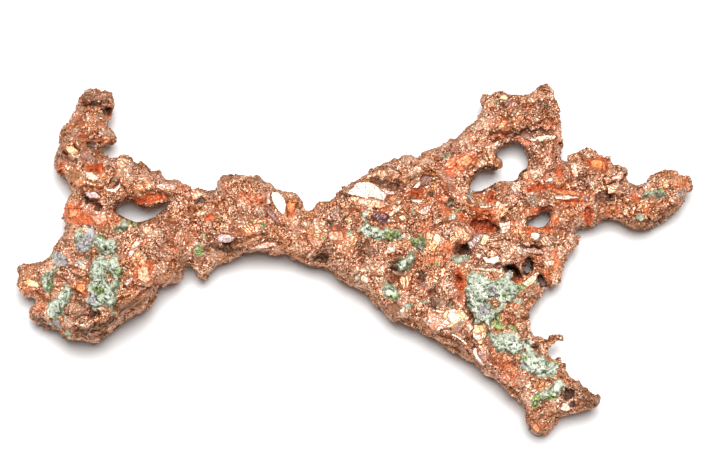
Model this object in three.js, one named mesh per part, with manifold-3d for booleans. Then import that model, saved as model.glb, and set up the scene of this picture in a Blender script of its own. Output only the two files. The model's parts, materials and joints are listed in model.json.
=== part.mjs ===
// Native copper nugget: a flat, branching piece of crystallised copper with crusts of pale green
// and grey minerals in its hollows. It lies on its broad side. A hooked arm and a thick lobe
// stand at the left end, a neck leads to a broad body with holes in it, and from the body fork
// a square prong at the back, an arm to the right and a leg that ends in two toes.
//
// The copper is one rounded sheet: an outline with holes says where it is, and a few stations
// say how high its top and how low its underside are. The crusts are patches let into the top.
// Millimetres, +X along the nugget, +Y to the prong side, +Z up, resting on z = 0.
import * as THREE from "three";
import { mergeVertices } from "three/addons/utils/BufferGeometryUtils.js";
import Module from "manifold-3d";

const wasm = await Module();
wasm.setup();

// ---------------------------------------------------------------- driving dimensions
const FACET = [1.3, 1.3, 1.5]; // size of the facets of the copper along x, y and z
const CRUST_FACET = [0.85, 0.85, 0.7];
const KEPT_FACETS = 0.5; // share of the facets left once flat places are thinned out
const PARTING = 0.3; // gap between neighbouring pieces
const EDGE_ROLL = 3.2; // width of the rounded edge of the sheet
const HOLE_ROLL = 1.6; // the edges of holes are sharper
const EDGE_POWER = 2.3; // 2 is a round edge, more is squarer
const RIM_LEVEL = 0.42; // where the outline runs, between the underside (0) and the top (1)
const CRUST_SINK = 0.9; // depth of the hollows that hold the crusts
const CRUST_THICKNESS = 1.35;
const CRUST_BED = 0.6; // clearance of a crust over the copper of its hollow
const STATION_REACH = 5.0; // how softly one station passes to the next
// The outline, swellings and crusts are drawn in slanting projection on the level of DRAWN_LEVEL:
// each millimetre above it carries a place VIEW_SLANT further back in the drawing. The walls of
// the nugget lean forward almost as much. It is modelled upright, where a millimetre of height
// carries a place only DRAWN_SLANT back, and leant at the end.
const VIEW_SLANT = 0.268;
const WALL_LEAN = 0.215;
const DRAWN_SLANT = VIEW_SLANT - WALL_LEAN;
const DRAWN_LEVEL = 5.5;

// ---------------------------------------------------------------- the outline, clockwise
const hookArmRim = [
  [-50.9, 29.3], [-50.2, 30.4], [-49.3, 31.3], [-48.2, 31.9], [-46.8, 32.1], [-45.6, 31.9],
  [-44.6, 31.3], [-44.0, 30.4], [-44.0, 29.7], [-44.6, 29.2], [-44.3, 28.1], [-43.9, 27.2],
  [-44.2, 26.6], [-45.1, 26.5], [-45.6, 25.9], [-45.6, 25.0], [-44.9, 24.3], [-44.3, 24.0],
  [-43.7, 23.0], [-43.3, 22.2], [-43.7, 21.8], [-44.7, 21.9], [-45.7, 21.4], [-46.6, 20.6],
  [-47.0, 19.9], [-46.6, 19.4], [-45.2, 19.3], [-44.0, 18.3], [-43.2, 19.0], [-42.3, 19.4],
  [-41.1, 19.4], [-40.6, 18.6], [-40.1, 17.9], [-38.3, 17.5], [-37.6, 16.8], [-36.5, 16.3],
  [-36.0, 16.8], [-35.2, 16.2], [-35.4, 15.1],
];
const neckBackRim = [
  [-34.5, 14.6], [-33.4, 14.8], [-32.3, 15.2], [-31.4, 14.6], [-30.5, 13.5], [-29.8, 13.1],
  [-28.2, 13.3], [-27.0, 12.9], [-25.9, 12.5], [-25.1, 12.7], [-24.0, 14.1], [-23.1, 15.4],
  [-22.3, 15.8], [-20.8, 15.6], [-19.2, 15.8], [-18.0, 15.4], [-16.8, 14.7], [-15.9, 14.6],
  [-15.1, 14.0], [-14.9, 12.9], [-13.8, 12.6], [-12.6, 12.7], [-11.4, 12.3], [-10.2, 11.6],
  [-9.8, 10.9], [-10.0, 10.1], [-9.6, 9.3], [-8.4, 8.6],
];
const bodyBackRim = [
  [-7.2, 9.0], [-6.7, 10.2], [-6.1, 10.8], [-5.5, 10.3], [-4.8, 10.2], [-3.9, 10.9],
  [-3.2, 11.8], [-2.2, 12.4], [-1.4, 13.5], [-0.5, 14.1], [0.4, 14.3], [1.3, 15.1],
  [2.0, 16.0], [3.3, 16.6], [5.0, 17.4], [6.4, 18.3], [7.6, 18.9], [8.7, 19.0],
  [10.2, 19.5], [11.4, 18.9], [13.2, 19.8], [14.4, 20.6], [15.4, 20.9], [16.2, 21.7],
  [17.3, 22.0], [17.9, 22.6], [18.7, 22.2], [19.3, 22.6],
];
const prongRim = [
  [19.5, 23.5], [20.1, 24.4], [21.4, 24.8], [21.4, 25.7], [21.9, 26.1], [22.6, 25.7],
  [22.9, 26.6], [23.2, 27.8], [23.5, 29.4], [22.9, 30.2], [23.2, 31.0], [24.1, 31.3],
  [25.1, 31.0], [26.1, 30.8], [26.8, 31.4], [27.6, 31.6], [29.2, 31.0], [30.6, 30.6],
  [31.5, 30.4], [32.4, 31.1], [33.1, 32.1], [34.0, 32.6], [35.8, 32.8], [36.4, 32.3],
  [36.5, 30.7], [37.0, 28.4], [37.6, 26.2], [38.0, 23.4], [38.0, 21.0], [37.5, 19.6],
  [37.3, 18.2],
];
const rightArmRim = [
  [37.7, 17.1], [38.4, 17.6], [38.9, 18.5], [38.7, 19.9], [40.2, 19.8], [41.0, 20.6],
  [41.8, 20.9], [42.4, 21.6], [43.0, 21.0], [43.8, 20.2], [45.0, 19.6], [46.6, 20.0],
  [47.1, 19.4], [46.9, 18.6], [47.0, 17.6], [48.1, 17.2], [49.0, 17.3], [49.3, 16.5],
  [49.2, 15.2], [49.7, 14.4], [50.6, 13.8], [51.7, 13.5], [52.6, 13.7], [53.4, 14.3],
  [53.8, 15.6], [54.8, 15.8], [56.2, 16.3], [57.0, 16.8], [57.9, 16.8], [58.9, 16.2],
  [59.7, 15.4], [60.5, 15.6], [61.3, 15.3], [61.7, 14.4], [61.6, 13.3], [60.8, 12.6],
  [60.2, 12.0], [59.8, 11.0], [59.2, 10.0], [58.7, 9.2], [57.6, 8.4], [56.4, 7.8],
  [55.2, 7.0], [54.1, 6.3], [52.9, 5.9], [51.5, 5.9], [50.2, 6.3], [49.1, 6.9],
  [48.1, 7.4], [47.2, 7.9], [46.1, 7.8], [44.8, 7.3], [43.6, 7.0], [43.3, 6.0],
  [42.6, 5.3], [41.9, 5.6], [41.5, 6.2],
];
const bodyRightRim = [
  [40.6, 5.9], [39.9, 5.2], [39.7, 4.5], [40.7, 4.1], [41.0, 3.5], [40.4, 2.3],
  [39.5, 1.1], [38.6, 0.2], [37.7, -0.9], [37.2, -1.9], [37.0, -2.9], [37.3, -3.9],
  [37.0, -4.8], [35.9, -5.1], [34.9, -4.9], [34.0, -3.6], [33.3, -3.2], [33.6, -4.4],
  [34.5, -5.5], [34.2, -6.4], [33.7, -7.3], [32.7, -8.0], [31.8, -8.6], [31.1, -9.4],
];
const legRim = [
  [31.0, -10.4], [31.5, -11.4], [31.5, -12.9], [31.6, -14.3], [32.2, -15.0], [33.9, -15.0],
  [34.9, -14.7], [36.2, -14.4], [37.2, -14.5], [37.4, -15.3], [36.6, -16.0], [35.4, -16.5],
  [34.3, -17.0], [34.2, -18.3], [35.2, -18.9], [36.2, -19.0], [36.5, -18.4], [37.4, -18.2],
  [37.8, -19.2], [38.1, -20.4], [37.9, -21.7], [38.8, -22.0], [39.6, -22.6], [40.3, -23.4],
  [41.1, -24.0], [42.2, -24.3], [42.9, -25.1], [43.7, -25.4], [44.1, -26.3], [43.7, -27.3],
  [42.8, -28.1], [41.6, -28.4], [40.2, -28.5], [38.7, -28.9], [37.3, -29.2], [36.5, -30.0],
  [36.3, -31.1], [35.9, -32.1], [35.1, -32.8], [34.1, -32.9], [33.1, -32.4], [32.2, -31.6],
  [31.3, -30.8], [30.6, -30.0], [30.8, -28.9], [30.6, -27.8], [29.9, -26.6], [28.9, -25.6],
  [27.9, -24.6], [27.1, -23.5], [26.0, -22.7], [24.7, -22.1], [23.7, -21.4], [23.1, -20.5],
  [22.3, -19.6], [21.0, -18.8], [19.6, -17.9],
];
const bodyFrontRim = [
  [18.0, -16.8], [16.4, -16.0], [14.9, -15.1], [13.3, -14.2], [12.0, -13.2], [10.2, -12.2],
  [8.5, -11.9], [7.0, -11.3], [6.1, -10.4], [5.0, -9.2], [3.6, -8.0], [2.8, -6.8],
  [1.9, -6.1], [0.5, -5.5], [-0.9, -4.7], [-1.8, -4.0], [-3.0, -3.5], [-3.8, -2.8],
  [-4.6, -1.8], [-6.0, -1.3], [-7.6, -1.0],
];
const neckFrontRim = [
  [-8.8, -0.8], [-10.2, 0.1], [-11.8, 0.6], [-13.2, 1.0], [-15.2, 1.2], [-17.4, 1.6],
  [-19.2, 1.4], [-21.2, 1.2], [-22.1, 0.4], [-23.0, -0.2], [-24.6, -0.3], [-24.9, -1.0],
  [-25.6, -2.0], [-26.6, -3.1], [-27.8, -3.8], [-28.6, -3.3], [-29.1, -2.3], [-29.7, -1.4],
  [-30.0, -0.7],
];
const lobeRim = [
  [-30.9, -0.8], [-31.4, -1.7], [-31.6, -2.7], [-31.6, -3.6], [-32.5, -4.2], [-34.6, -4.3],
  [-35.4, -5.1], [-36.2, -6.3], [-37.2, -7.8], [-38.4, -9.5], [-40.2, -10.6], [-42.1, -11.4],
  [-44.0, -13.0], [-45.4, -14.3], [-46.6, -15.2], [-48.0, -15.2], [-49.5, -14.8],
  [-50.8, -15.1], [-51.9, -15.1], [-52.6, -14.3], [-53.1, -13.3], [-54.6, -12.8],
  [-55.8, -12.4], [-56.9, -12.5], [-58.0, -11.8], [-58.8, -10.8], [-59.1, -9.8],
  [-58.4, -9.0], [-57.6, -8.5], [-57.2, -7.7], [-57.5, -7.1], [-58.9, -6.9], [-60.2, -6.5],
  [-61.4, -6.0], [-61.6, -5.3], [-61.0, -4.3], [-60.3, -3.3], [-60.6, -2.5], [-61.3, -2.0],
  [-61.1, -1.2], [-60.3, -0.4], [-59.4, -0.7], [-58.5, -1.3], [-57.7, -1.3], [-56.9, -0.7],
  [-55.8, -0.1], [-55.1, 0.0], [-54.7, 1.2], [-54.0, 2.3], [-53.3, 3.3], [-52.6, 4.3],
  [-52.3, 5.5], [-52.0, 6.6], [-52.3, 7.5], [-53.3, 7.7], [-53.3, 8.5], [-52.6, 9.6],
];
const armOuterRim = [
  [-52.4, 10.6], [-52.4, 11.5], [-51.6, 11.8], [-50.6, 12.2], [-51.2, 13.1], [-51.9, 14.0],
  [-52.0, 15.0], [-53.2, 15.6], [-54.0, 16.6], [-54.3, 18.0], [-54.3, 19.2], [-53.9, 20.3],
  [-53.3, 21.6], [-53.8, 22.4], [-54.0, 23.2], [-53.5, 24.1], [-52.7, 24.9], [-52.1, 26.0],
  [-51.3, 26.7], [-51.0, 27.7],
];
const OUTLINE = [
  ...hookArmRim, ...neckBackRim, ...bodyBackRim, ...prongRim, ...rightArmRim, ...bodyRightRim,
  ...legRim, ...bodyFrontRim, ...neckFrontRim, ...lobeRim, ...armOuterRim,
];

// The holes that a finger tip would find, each an outline of its own.
const HOLES = [
  // between the hooked arm and the lobe
  [
    [-43.7, 9.4], [-42.8, 10.3], [-41.8, 11.0], [-40.7, 11.1], [-40.0, 10.4], [-38.6, 9.5],
    [-37.4, 9.5], [-36.3, 10.0], [-35.2, 10.0], [-34.3, 10.7], [-33.3, 10.9], [-34.0, 9.7],
    [-35.2, 8.8], [-36.6, 7.8], [-38.0, 7.1], [-39.6, 6.7], [-41.2, 7.4], [-42.8, 8.4],
  ],
  // the double hole at the foot of the prong
  [
    [26.1, 19.4], [26.3, 20.5], [26.9, 21.2], [28.2, 21.4], [29.3, 21.9], [30.3, 21.4],
    [30.9, 20.1], [31.5, 18.6], [31.5, 17.2], [30.6, 16.9], [30.0, 16.2], [29.8, 15.3],
    [28.8, 14.8], [26.4, 14.8], [25.0, 14.3], [23.9, 14.0], [22.9, 13.0], [21.7, 12.8],
    [21.1, 13.3], [21.4, 14.4], [22.3, 15.4], [23.3, 16.4], [24.0, 16.8], [25.1, 16.3],
    [26.4, 16.5], [27.1, 17.3], [27.0, 18.6],
  ],
  // the eye in the body
  [
    [31.0, 7.2], [32.2, 7.5], [33.4, 7.8], [34.0, 8.5], [35.1, 8.6], [35.6, 8.0],
    [35.4, 7.2], [34.4, 6.5], [33.1, 6.2], [31.9, 6.5],
  ],
];

// Small through holes, [x, y, radius].
const PINHOLES = [
  [27.0, 7.4, 0.55], [25.6, 6.3, 0.5], [28.0, -1.8, 0.7], [29.0, -2.3, 0.6], [31.5, -2.0, 0.7],
];

// ---------------------------------------------------------------- height of top and underside
// Stations, [x, y, top, underside]. Where the underside dips below 0 the nugget has a foot.
const STATIONS = [
  [-47.5, 30.0, 10.5, 3.8], [-49.0, 24.0, 9.5, 2.6], [-49.5, 17.5, 10.5, 0.2],
  [-49.0, 19.5, 10.2, -0.9], [-42.5, 16.5, 10.6, 3.0], [-37.0, 14.8, 10.0, 3.4],
  [-48.0, 8.5, 11.5, 2.4], [-48.5, 2.5, 14.4, 1.0], [-45.0, -4.0, 15.6, 0.2],
  [-47.0, -7.5, 15.4, -1.1], [-52.0, -9.5, 13.0, 0.8], [-57.0, -10.5, 8.0, 2.0],
  [-59.5, -4.5, 9.0, 3.6], [-54.5, -3.0, 12.0, 2.0], [-40.0, -4.0, 13.6, 1.6],
  [-35.0, 2.0, 12.0, 2.0], [-28.0, 8.0, 11.0, 2.6], [-27.8, -2.2, 7.8, 2.6],
  [-20.0, 10.0, 11.6, 2.0], [-18.0, 4.5, 10.8, 2.0], [-12.5, 7.5, 9.8, 2.4],
  [-7.5, 4.0, 9.0, 2.2], [0.0, 5.0, 10.5, 1.6], [4.0, 12.5, 10.6, 2.4], [7.0, 1.0, 11.6, -0.2],
  [12.0, 15.5, 10.2, 2.6], [9.0, -7.0, 10.4, 1.0], [15.0, 6.0, 10.8, 1.2],
  [20.0, 19.0, 9.2, 2.8], [19.0, -9.0, 11.6, 0.8], [23.5, 3.0, 9.6, 1.6],
  [26.0, 25.5, 8.2, 3.0], [27.0, 30.2, 7.6, 3.4], [34.5, 29.0, 7.8, 3.2],
  [34.5, 20.0, 8.0, 2.4], [31.0, 11.5, 8.6, 2.2], [38.0, 10.0, 8.8, 2.0],
  [34.0, 1.0, 8.4, 2.2], [35.8, -3.6, 7.4, 2.8], [39.8, 3.0, 7.6, 2.8], [45.0, 13.5, 8.6, 2.4],
  [42.5, 20.0, 7.0, 3.2], [50.5, 10.0, 8.8, 0.8], [54.0, 10.0, 9.2, -0.9],
  [58.0, 14.0, 8.8, 2.4], [61.0, 14.3, 7.8, 3.4], [27.0, -8.0, 10.6, 1.2],
  [27.5, -15.0, 10.8, 1.0], [31.0, -20.0, 10.4, 0.8], [36.2, -15.3, 7.0, 3.8],
  [36.8, -19.6, 8.2, 3.0], [34.0, -26.0, 10.2, -0.6], [34.2, -30.5, 9.0, -0.9],
  [38.5, -26.0, 9.6, 1.6], [42.3, -26.3, 9.2, 2.6],
];

// Swellings (+) and hollows (-) of the top, [x, y, half length, half width, turn in degrees,
// height]. The hollows are the pockets from which the gangue fell out.
const RELIEF = [
  [-47.5, 30.6, 3.0, 1.4, 0, 0.9], [-44.9, 27.9, 0.9, 1.2, 0, -2.6],
  [-49.7, 23.2, 1.0, 0.8, 30, -1.4], [-52.5, 22.8, 1.5, 1.8, 0, 0.7],
  [-52.8, 18.2, 1.4, 2.6, 0, 0.8], [-47.6, 17.0, 1.4, 1.0, 30, -1.3],
  [-48.2, 11.6, 3.0, 0.8, -30, -1.6], [-43.2, 14.6, 2.2, 1.3, 40, 0.8],
  [-37.2, 11.4, 3.0, 1.0, 10, -1.8], [-41.8, 18.0, 1.5, 1.1, 0, 0.5],
  [-50.0, 8.8, 2.4, 1.2, 0, -0.9], [-58.4, -4.4, 1.8, 0.8, 0, -1.8],
  [-49.0, -5.8, 0.9, 1.2, 0, 0.9], [-37.8, -2.6, 1.8, 1.6, 0, 0.9],
  [-46.3, -9.9, 1.4, 0.7, -20, -1.8], [-43.8, -3.3, 0.9, 0.9, 0, 0.8],
  [-27.9, 11.2, 1.2, 0.8, 0, -1.5], [-23.5, 3.6, 2.0, 1.2, -20, 0.9],
  [-14.0, 10.8, 1.4, 2.6, 25, 1.2], [-11.6, 9.6, 0.9, 1.3, 0, -1.0],
  [-4.3, 6.6, 1.2, 1.2, 0, -1.0], [-5.8, 0.6, 1.6, 0.9, 0, -1.4],
  [1.6, 13.0, 4.2, 1.1, -12, 0.9], [6.2, 14.6, 2.8, 0.8, -8, -1.3],
  [4.3, 7.6, 1.6, 1.0, -20, -1.4], [3.4, 0.5, 2.0, 0.7, -20, -1.1],
  [7.0, -0.6, 1.2, 0.8, 0, -1.6], [19.6, 1.4, 1.4, 1.8, -20, -4.6],
  [18.9, -4.6, 0.9, 2.4, 5, -2.2], [23.2, 6.7, 2.6, 1.5, 0, -4.2],
  [24.8, 11.6, 0.8, 1.2, -25, -2.8], [19.6, 7.6, 1.2, 1.0, 0, -1.2],
  [13.9, 12.1, 0.8, 1.1, 0, -1.2], [12.3, -3.0, 0.8, 0.9, 0, -1.3],
  [16.0, -8.2, 1.8, 0.9, 20, 1.0], [18.0, -12.0, 3.6, 1.2, 20, 0.9],
  [22.0, -14.5, 3.0, 0.9, -35, 0.9], [25.3, -8.2, 1.2, 1.1, 0, 1.3],
  [22.6, 3.6, 2.0, 1.2, 30, 0.8], [31.6, -0.9, 1.0, 1.4, 0, -3.0],
  [29.2, -3.8, 0.8, 1.1, 0, -2.0], [34.6, -3.6, 1.0, 0.9, 0, -1.2],
  [33.8, 9.2, 3.2, 0.7, 0, -1.6], [33.6, 5.6, 2.8, 0.8, 0, -0.6],
  [38.2, 12.7, 3.8, 0.7, -14, -1.2], [39.0, 11.4, 3.2, 0.7, -6, 0.8],
  [42.4, 8.4, 0.7, 2.2, 0, -2.2], [44.4, 18.0, 1.7, 1.2, 0, -2.0],
  [41.2, 14.8, 1.3, 0.6, 0, -1.6], [45.2, 11.4, 1.7, 1.0, 20, -1.8],
  [47.9, 15.6, 1.3, 0.8, 0, 0.8], [54.2, 12.2, 3.0, 0.9, 8, -0.5],
  [27.6, 30.6, 1.4, 0.8, 0, 0.8], [28.4, 23.6, 4.6, 0.7, -6, -1.1],
  [34.6, 22.8, 2.6, 0.9, 6, 0.7], [34.0, 24.6, 3.4, 0.7, 12, -1.0],
  [36.3, -21.0, 1.4, 0.8, 0, -0.8], [39.2, -26.4, 1.3, 1.0, -20, -2.2],
  [41.8, -26.2, 1.5, 1.3, 0, 0.9], [30.6, -23.6, 3.6, 1.0, -50, -0.9],
  [32.6, -16.2, 0.9, 0.7, 0, -1.4],
];

// ---------------------------------------------------------------- the mineral crusts
// Each crust is a patch of overlapping rounds, [x, y, radius].
const CRUSTS = [
  { name: "crust_lobe_twig", colour: "#b9c4a6",
    rounds: [[-54.6, -2.6, 0.9], [-55.6, -3.8, 1.0], [-55.5, -5.1, 1.0]] },
  { name: "crust_lobe_front", colour: "#c4ccb6",
    rounds: [[-51.7, -6.0, 1.2], [-52.3, -7.4, 1.4], [-53.9, -8.7, 1.4], [-52.7, -9.3, 1.2]] },
  { name: "quartz_lobe_back", colour: "#cfc4c2",
    rounds: [[-49.6, 4.2, 1.0], [-48.9, 3.0, 1.4], [-48.6, 2.0, 1.1]] },
  { name: "crust_lobe_back", colour: "#b3c095",
    rounds: [[-45.9, 2.9, 1.3], [-44.4, 2.5, 1.3], [-43.3, 1.7, 1.0]] },
  { name: "crust_lobe_centre", colour: "#c2cab2",
    rounds: [[-45.8, 0.0, 1.1], [-46.3, -1.2, 1.4], [-46.4, -3.2, 1.6], [-44.2, -1.0, 1.2],
      [-42.8, -2.2, 1.0], [-42.5, -3.8, 0.9], [-43.5, -5.2, 1.1], [-45.5, -5.4, 1.5],
      [-44.0, -7.2, 1.4], [-46.5, -7.4, 1.4]] },
  { name: "crust_gap_edge", colour: "#c6cfba",
    rounds: [[-42.0, 6.0, 1.0], [-43.1, 5.8, 0.9], [-40.9, 5.4, 0.8]] },
  { name: "crust_body_back", colour: "#adb8a0",
    rounds: [[2.3, 6.9, 0.8], [1.6, 5.6, 0.9], [3.0, 5.0, 1.1], [4.7, 4.8, 0.9],
      [6.5, 4.4, 1.1], [8.1, 4.5, 1.0]] },
  { name: "crust_body_middle", colour: "#b9c6a4",
    rounds: [[10.8, 3.4, 0.8], [11.9, 3.3, 1.0], [12.1, 2.2, 0.8]] },
  { name: "crust_body_grey", colour: "#c3c6be",
    rounds: [[10.2, 0.6, 0.9], [9.6, -0.4, 0.9], [8.5, -1.3, 0.9]] },
  { name: "crust_body_front", colour: "#ccd4bd",
    rounds: [[6.3, -5.4, 1.2], [7.2, -6.5, 1.2]] },
  { name: "crust_leg_root", colour: "#c3ccb9",
    rounds: [[22.2, -3.6, 1.4], [22.5, -5.6, 1.8], [24.8, -5.3, 1.6], [27.0, -4.9, 1.5],
      [28.5, -5.8, 1.4], [22.4, -7.8, 1.4], [23.2, -9.6, 1.5], [23.5, -11.3, 1.2],
      [25.2, -10.4, 1.0], [27.2, -7.2, 1.0]] },
  { name: "crust_leg_middle", colour: "#c9d1bc",
    rounds: [[25.5, -14.8, 1.1], [26.9, -15.6, 1.5], [28.5, -16.0, 1.5], [29.9, -15.8, 1.1]] },
  { name: "crust_leg_side", colour: "#bcc7b4",
    rounds: [[31.3, -18.5, 1.1], [32.7, -18.9, 1.3], [33.9, -20.0, 1.3], [35.2, -20.2, 1.0],
      [32.2, -20.4, 1.0]] },
  { name: "crust_foot", colour: "#b4cc7e",
    rounds: [[37.0, -23.5, 0.9], [36.0, -24.0, 0.9], [34.8, -24.6, 1.0], [33.5, -25.4, 1.0],
      [32.6, -26.4, 0.9]] },
  { name: "crust_right_arm", colour: "#bcc8a6",
    rounds: [[52.7, 11.9, 0.7], [53.9, 12.2, 0.8], [55.2, 12.4, 0.8], [56.2, 12.5, 0.7]] },
];

// ---------------------------------------------------------------- the pieces of the copper
// Where the nugget forks it is parted by a saw cut, [x, y] to [x, y].
const CUTS = {
  armFromLobe: [[-55.0, 9.9], [-42.6, 9.4]],
  armFromNeck: [[-34.0, 17.4], [-36.4, 9.0]],
  lobeFromNeck: [[-36.4, 9.0], [-29.6, -2.6]],
  neckFromBody: [[-7.6, 11.0], [-8.4, -3.0]],
  prongFromBody: [[17.6, 23.3], [27.6, 19.9]],
  prongBaseFromBody: [[30.2, 17.2], [37.8, 17.4]],
  prongFromRightArm: [[38.4, 19.9], [37.7, 17.3]],
  rightArmFromBody: [[37.7, 17.5], [42.0, 4.4]],
  legFromBody: [[32.9, -9.0], [17.8, -19.2]],
};

// The room that each piece takes; its sides run inside the saw cuts or outside the nugget.
const PIECES = [
  { name: "hook_arm", room: [[-60, 40], [-60, 10.1], [-55.0, 9.9], [-42.6, 9.4], [-39.0, 8.3],
    [-37.6, 8.4], [-36.4, 9.0], [-34.0, 17.4], [-34.0, 40]] },
  { name: "left_lobe", room: [[-70, 10.6], [-55.0, 9.9], [-42.6, 9.4], [-39.0, 8.3],
    [-37.6, 8.4], [-36.4, 9.0], [-29.6, -2.6], [-28, -30], [-70, -30]] },
  { name: "neck", room: [[-34.0, 40], [-34.0, 17.4], [-36.4, 9.0], [-29.6, -2.6],
    [-28, -30], [-8.4, -30], [-8.4, -3.0], [-7.6, 11.0], [-7.6, 40]] },
  { name: "body", room: [[-7.6, 40], [-7.6, 11.0], [-8.4, -3.0], [-8.4, -30], [17, -30],
    [17.8, -19.2], [32.9, -9.0], [45, -8], [42.0, 4.4], [37.74, 17.37], [30.2, 17.2],
    [27.6, 19.9], [17.6, 23.3], [16, 40]] },
  { name: "top_prong", room: [[16, 40], [17.6, 23.3], [27.6, 19.9], [30.2, 17.2], [37.74, 17.37],
    [38.4, 19.9], [40, 40]] },
  { name: "right_arm", room: [[40, 40], [38.4, 19.9], [37.74, 17.37], [42.0, 4.4],
    [45, -8], [75, -8], [75, 40]] },
  { name: "leg", room: [[17, -50], [17.8, -19.2], [32.9, -9.0], [45, -8], [60, -8], [60, -50]] },
];

const COPPER = { color: "#bf8c6f", roughness: 0.32, metalness: 1.0 };

// ---------------------------------------------------------------- plane geometry
// Distance from (x, y) to the nearest side of a closed outline, positive inside it.
function insideDistance(outline, x, y) {
  let nearest = Infinity;
  let inside = false;
  for (let i = 0, j = outline.length - 1; i < outline.length; j = i, i += 1) {
    const [ax, ay] = outline[j];
    const [bx, by] = outline[i];
    const ex = bx - ax;
    const ey = by - ay;
    const along = ((x - ax) * ex + (y - ay) * ey) / (ex * ex + ey * ey);
    const t = Math.min(1, Math.max(0, along));
    nearest = Math.min(nearest, Math.hypot(ax + t * ex - x, ay + t * ey - y));
    if (ay > y !== by > y && x < ax + (ex * (y - ay)) / ey) inside = !inside;
  }
  return inside ? nearest : -nearest;
}

// A soft ramp from 0 at a to 1 at b.
function ramp(a, b, value) {
  const t = Math.min(1, Math.max(0, (value - a) / (b - a)));
  return t * t * (3 - 2 * t);
}

// Height of a rounded edge, 0 at the rim and 1 from its full width inwards.
function edgeProfile(distance, width) {
  const left = Math.max(0, 1 - distance / width);
  return (1 - Math.min(1, left) ** EDGE_POWER) ** (1 / EDGE_POWER);
}

// ---------------------------------------------------------------- the form of the copper
// Top and underside levels at (x, y) from the stations, nearer ones counting for more.
function levels(x, y) {
  let top = 0;
  let underside = 0;
  let total = 0;
  for (const [sx, sy, high, low] of STATIONS) {
    const weight = 1 / ((x - sx) ** 2 + (y - sy) ** 2 + STATION_REACH) ** 2;
    top += weight * high;
    underside += weight * low;
    total += weight;
  }
  return [top / total, underside / total];
}

// Swellings and hollows of the top, and the hackly waviness that copper grows with.
function reliefAt(x, y) {
  let height = 0.28 * Math.sin(1.15 * x + 0.6 * y) * Math.sin(1.05 * y - 0.35 * x + 1.0)
    + 0.2 * Math.sin(0.62 * x - 0.9 * y + 2.0);
  for (const [cx, cy, length, width, turn, rise] of RELIEF) {
    const a = THREE.MathUtils.degToRad(turn);
    const u = ((x - cx) * Math.cos(a) + (y - cy) * Math.sin(a)) / length;
    const v = ((y - cy) * Math.cos(a) - (x - cx) * Math.sin(a)) / width;
    const far = u * u + v * v;
    if (far < 9) height += rise * Math.exp(-far);
  }
  return height;
}

function undersideRelief(x, y) {
  return 0.45 * Math.sin(0.85 * x - 0.5 * y) * Math.sin(0.8 * y + 0.45 * x + 2.0);
}

// Distance into a crust's patch, rounds flowing together.
function patchDistance(rounds, x, y) {
  let sum = 0;
  for (const [cx, cy, radius] of rounds) {
    sum += Math.exp(5 * (radius - Math.hypot(x - cx, y - cy)));
  }
  return Math.log(sum) / 5;
}

// The whole form above one point of the plane: rim level, heights over and under it, the roll
// of the edge, and how far the point is inside the outline. The last one is kept, as a column
// of samples asks for the same point again and again.
let lastSection = { x: NaN, y: NaN };

function sectionAt(x, y) {
  if (lastSection.x === x && lastSection.y === y) return lastSection;
  const [high, low] = levels(x, y);
  const rim = low + RIM_LEVEL * (high - low);
  const rimY = y + DRAWN_SLANT * (rim - DRAWN_LEVEL);
  const topY = y + DRAWN_SLANT * (high - DRAWN_LEVEL);
  const outer = insideDistance(OUTLINE, x, rimY);
  const hole = Math.min(...HOLES.map((outline) => -insideDistance(outline, x, rimY)));
  const inside = Math.min(outer, hole);
  const roll = hole < outer ? HOLE_ROLL : EDGE_ROLL;
  const top = high + reliefAt(x, topY);
  const underside = low + undersideRelief(x, y);
  const over = Math.max(1.2, top - rim);
  const under = Math.max(1.0, rim - underside);
  let sink = 0;
  for (const crust of CRUSTS) {
    sink = Math.max(sink, ramp(-0.9, -0.1, patchDistance(crust.rounds, x, topY)));
  }
  const surface = rim + over * edgeProfile(inside, roll);
  const floor = surface - CRUST_SINK * sink;
  lastSection = { x, y, topY, inside, roll, rim, over, under, sink, floor };
  return lastSection;
}

// The copper as a field: positive inside, 0 on its surface.
function copperField(x, y, z) {
  const s = sectionAt(x, y);
  const across = Math.max(0, 1 - s.inside / s.roll);
  const height = Math.abs(z - s.rim) / (z > s.rim ? s.over : s.under);
  const shell = 1 - (across ** EDGE_POWER + height ** EDGE_POWER) ** (1 / EDGE_POWER);
  const field = shell * Math.min(s.roll, s.over);
  return s.sink > 0 && s.inside > 0 ? Math.min(field, s.floor - z) : field;
}

// A crust as a field: it lies in its hollow, a parting above the copper.
function crustField(rounds) {
  return (x, y, z) => {
    const s = sectionAt(x, y);
    const patch = Math.min(patchDistance(rounds, x, s.topY), s.inside - 0.7);
    const bed = s.floor + CRUST_BED;
    const thickness = CRUST_THICKNESS * edgeProfile(Math.max(0, patch), 0.9)
      + 0.18 * Math.sin(2.1 * x + 1) * Math.sin(1.9 * y);
    return Math.min(patch, z - bed, bed + thickness - z);
  };
}

// ---------------------------------------------------------------- from a field to facets
// The samples of a field on a grid, with every pinch filled so that the skin closes.
function sampleField(field, low, high, facet) {
  const count = low.map((from, axis) => Math.ceil((high[axis] - from) / facet[axis]) + 1);
  const [nx, ny, nz] = count;
  const at = (i, j, k) => i + nx * (j + ny * k);
  const value = new Float64Array(nx * ny * nz);
  for (let j = 0; j < ny; j += 1) {
    for (let i = 0; i < nx; i += 1) {
      for (let k = 0; k < nz; k += 1) {
        const onShell = !i || !j || !k || i === nx - 1 || j === ny - 1 || k === nz - 1;
        const x = low[0] + i * facet[0];
        const y = low[1] + j * facet[1];
        const z = low[2] + k * facet[2];
        value[at(i, j, k)] = onShell ? -1 : field(x, y, z);
      }
    }
  }
  keepLargest(value, count);
  fillPinches(value, count);
  return { value, count, at, low, facet };
}

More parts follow.
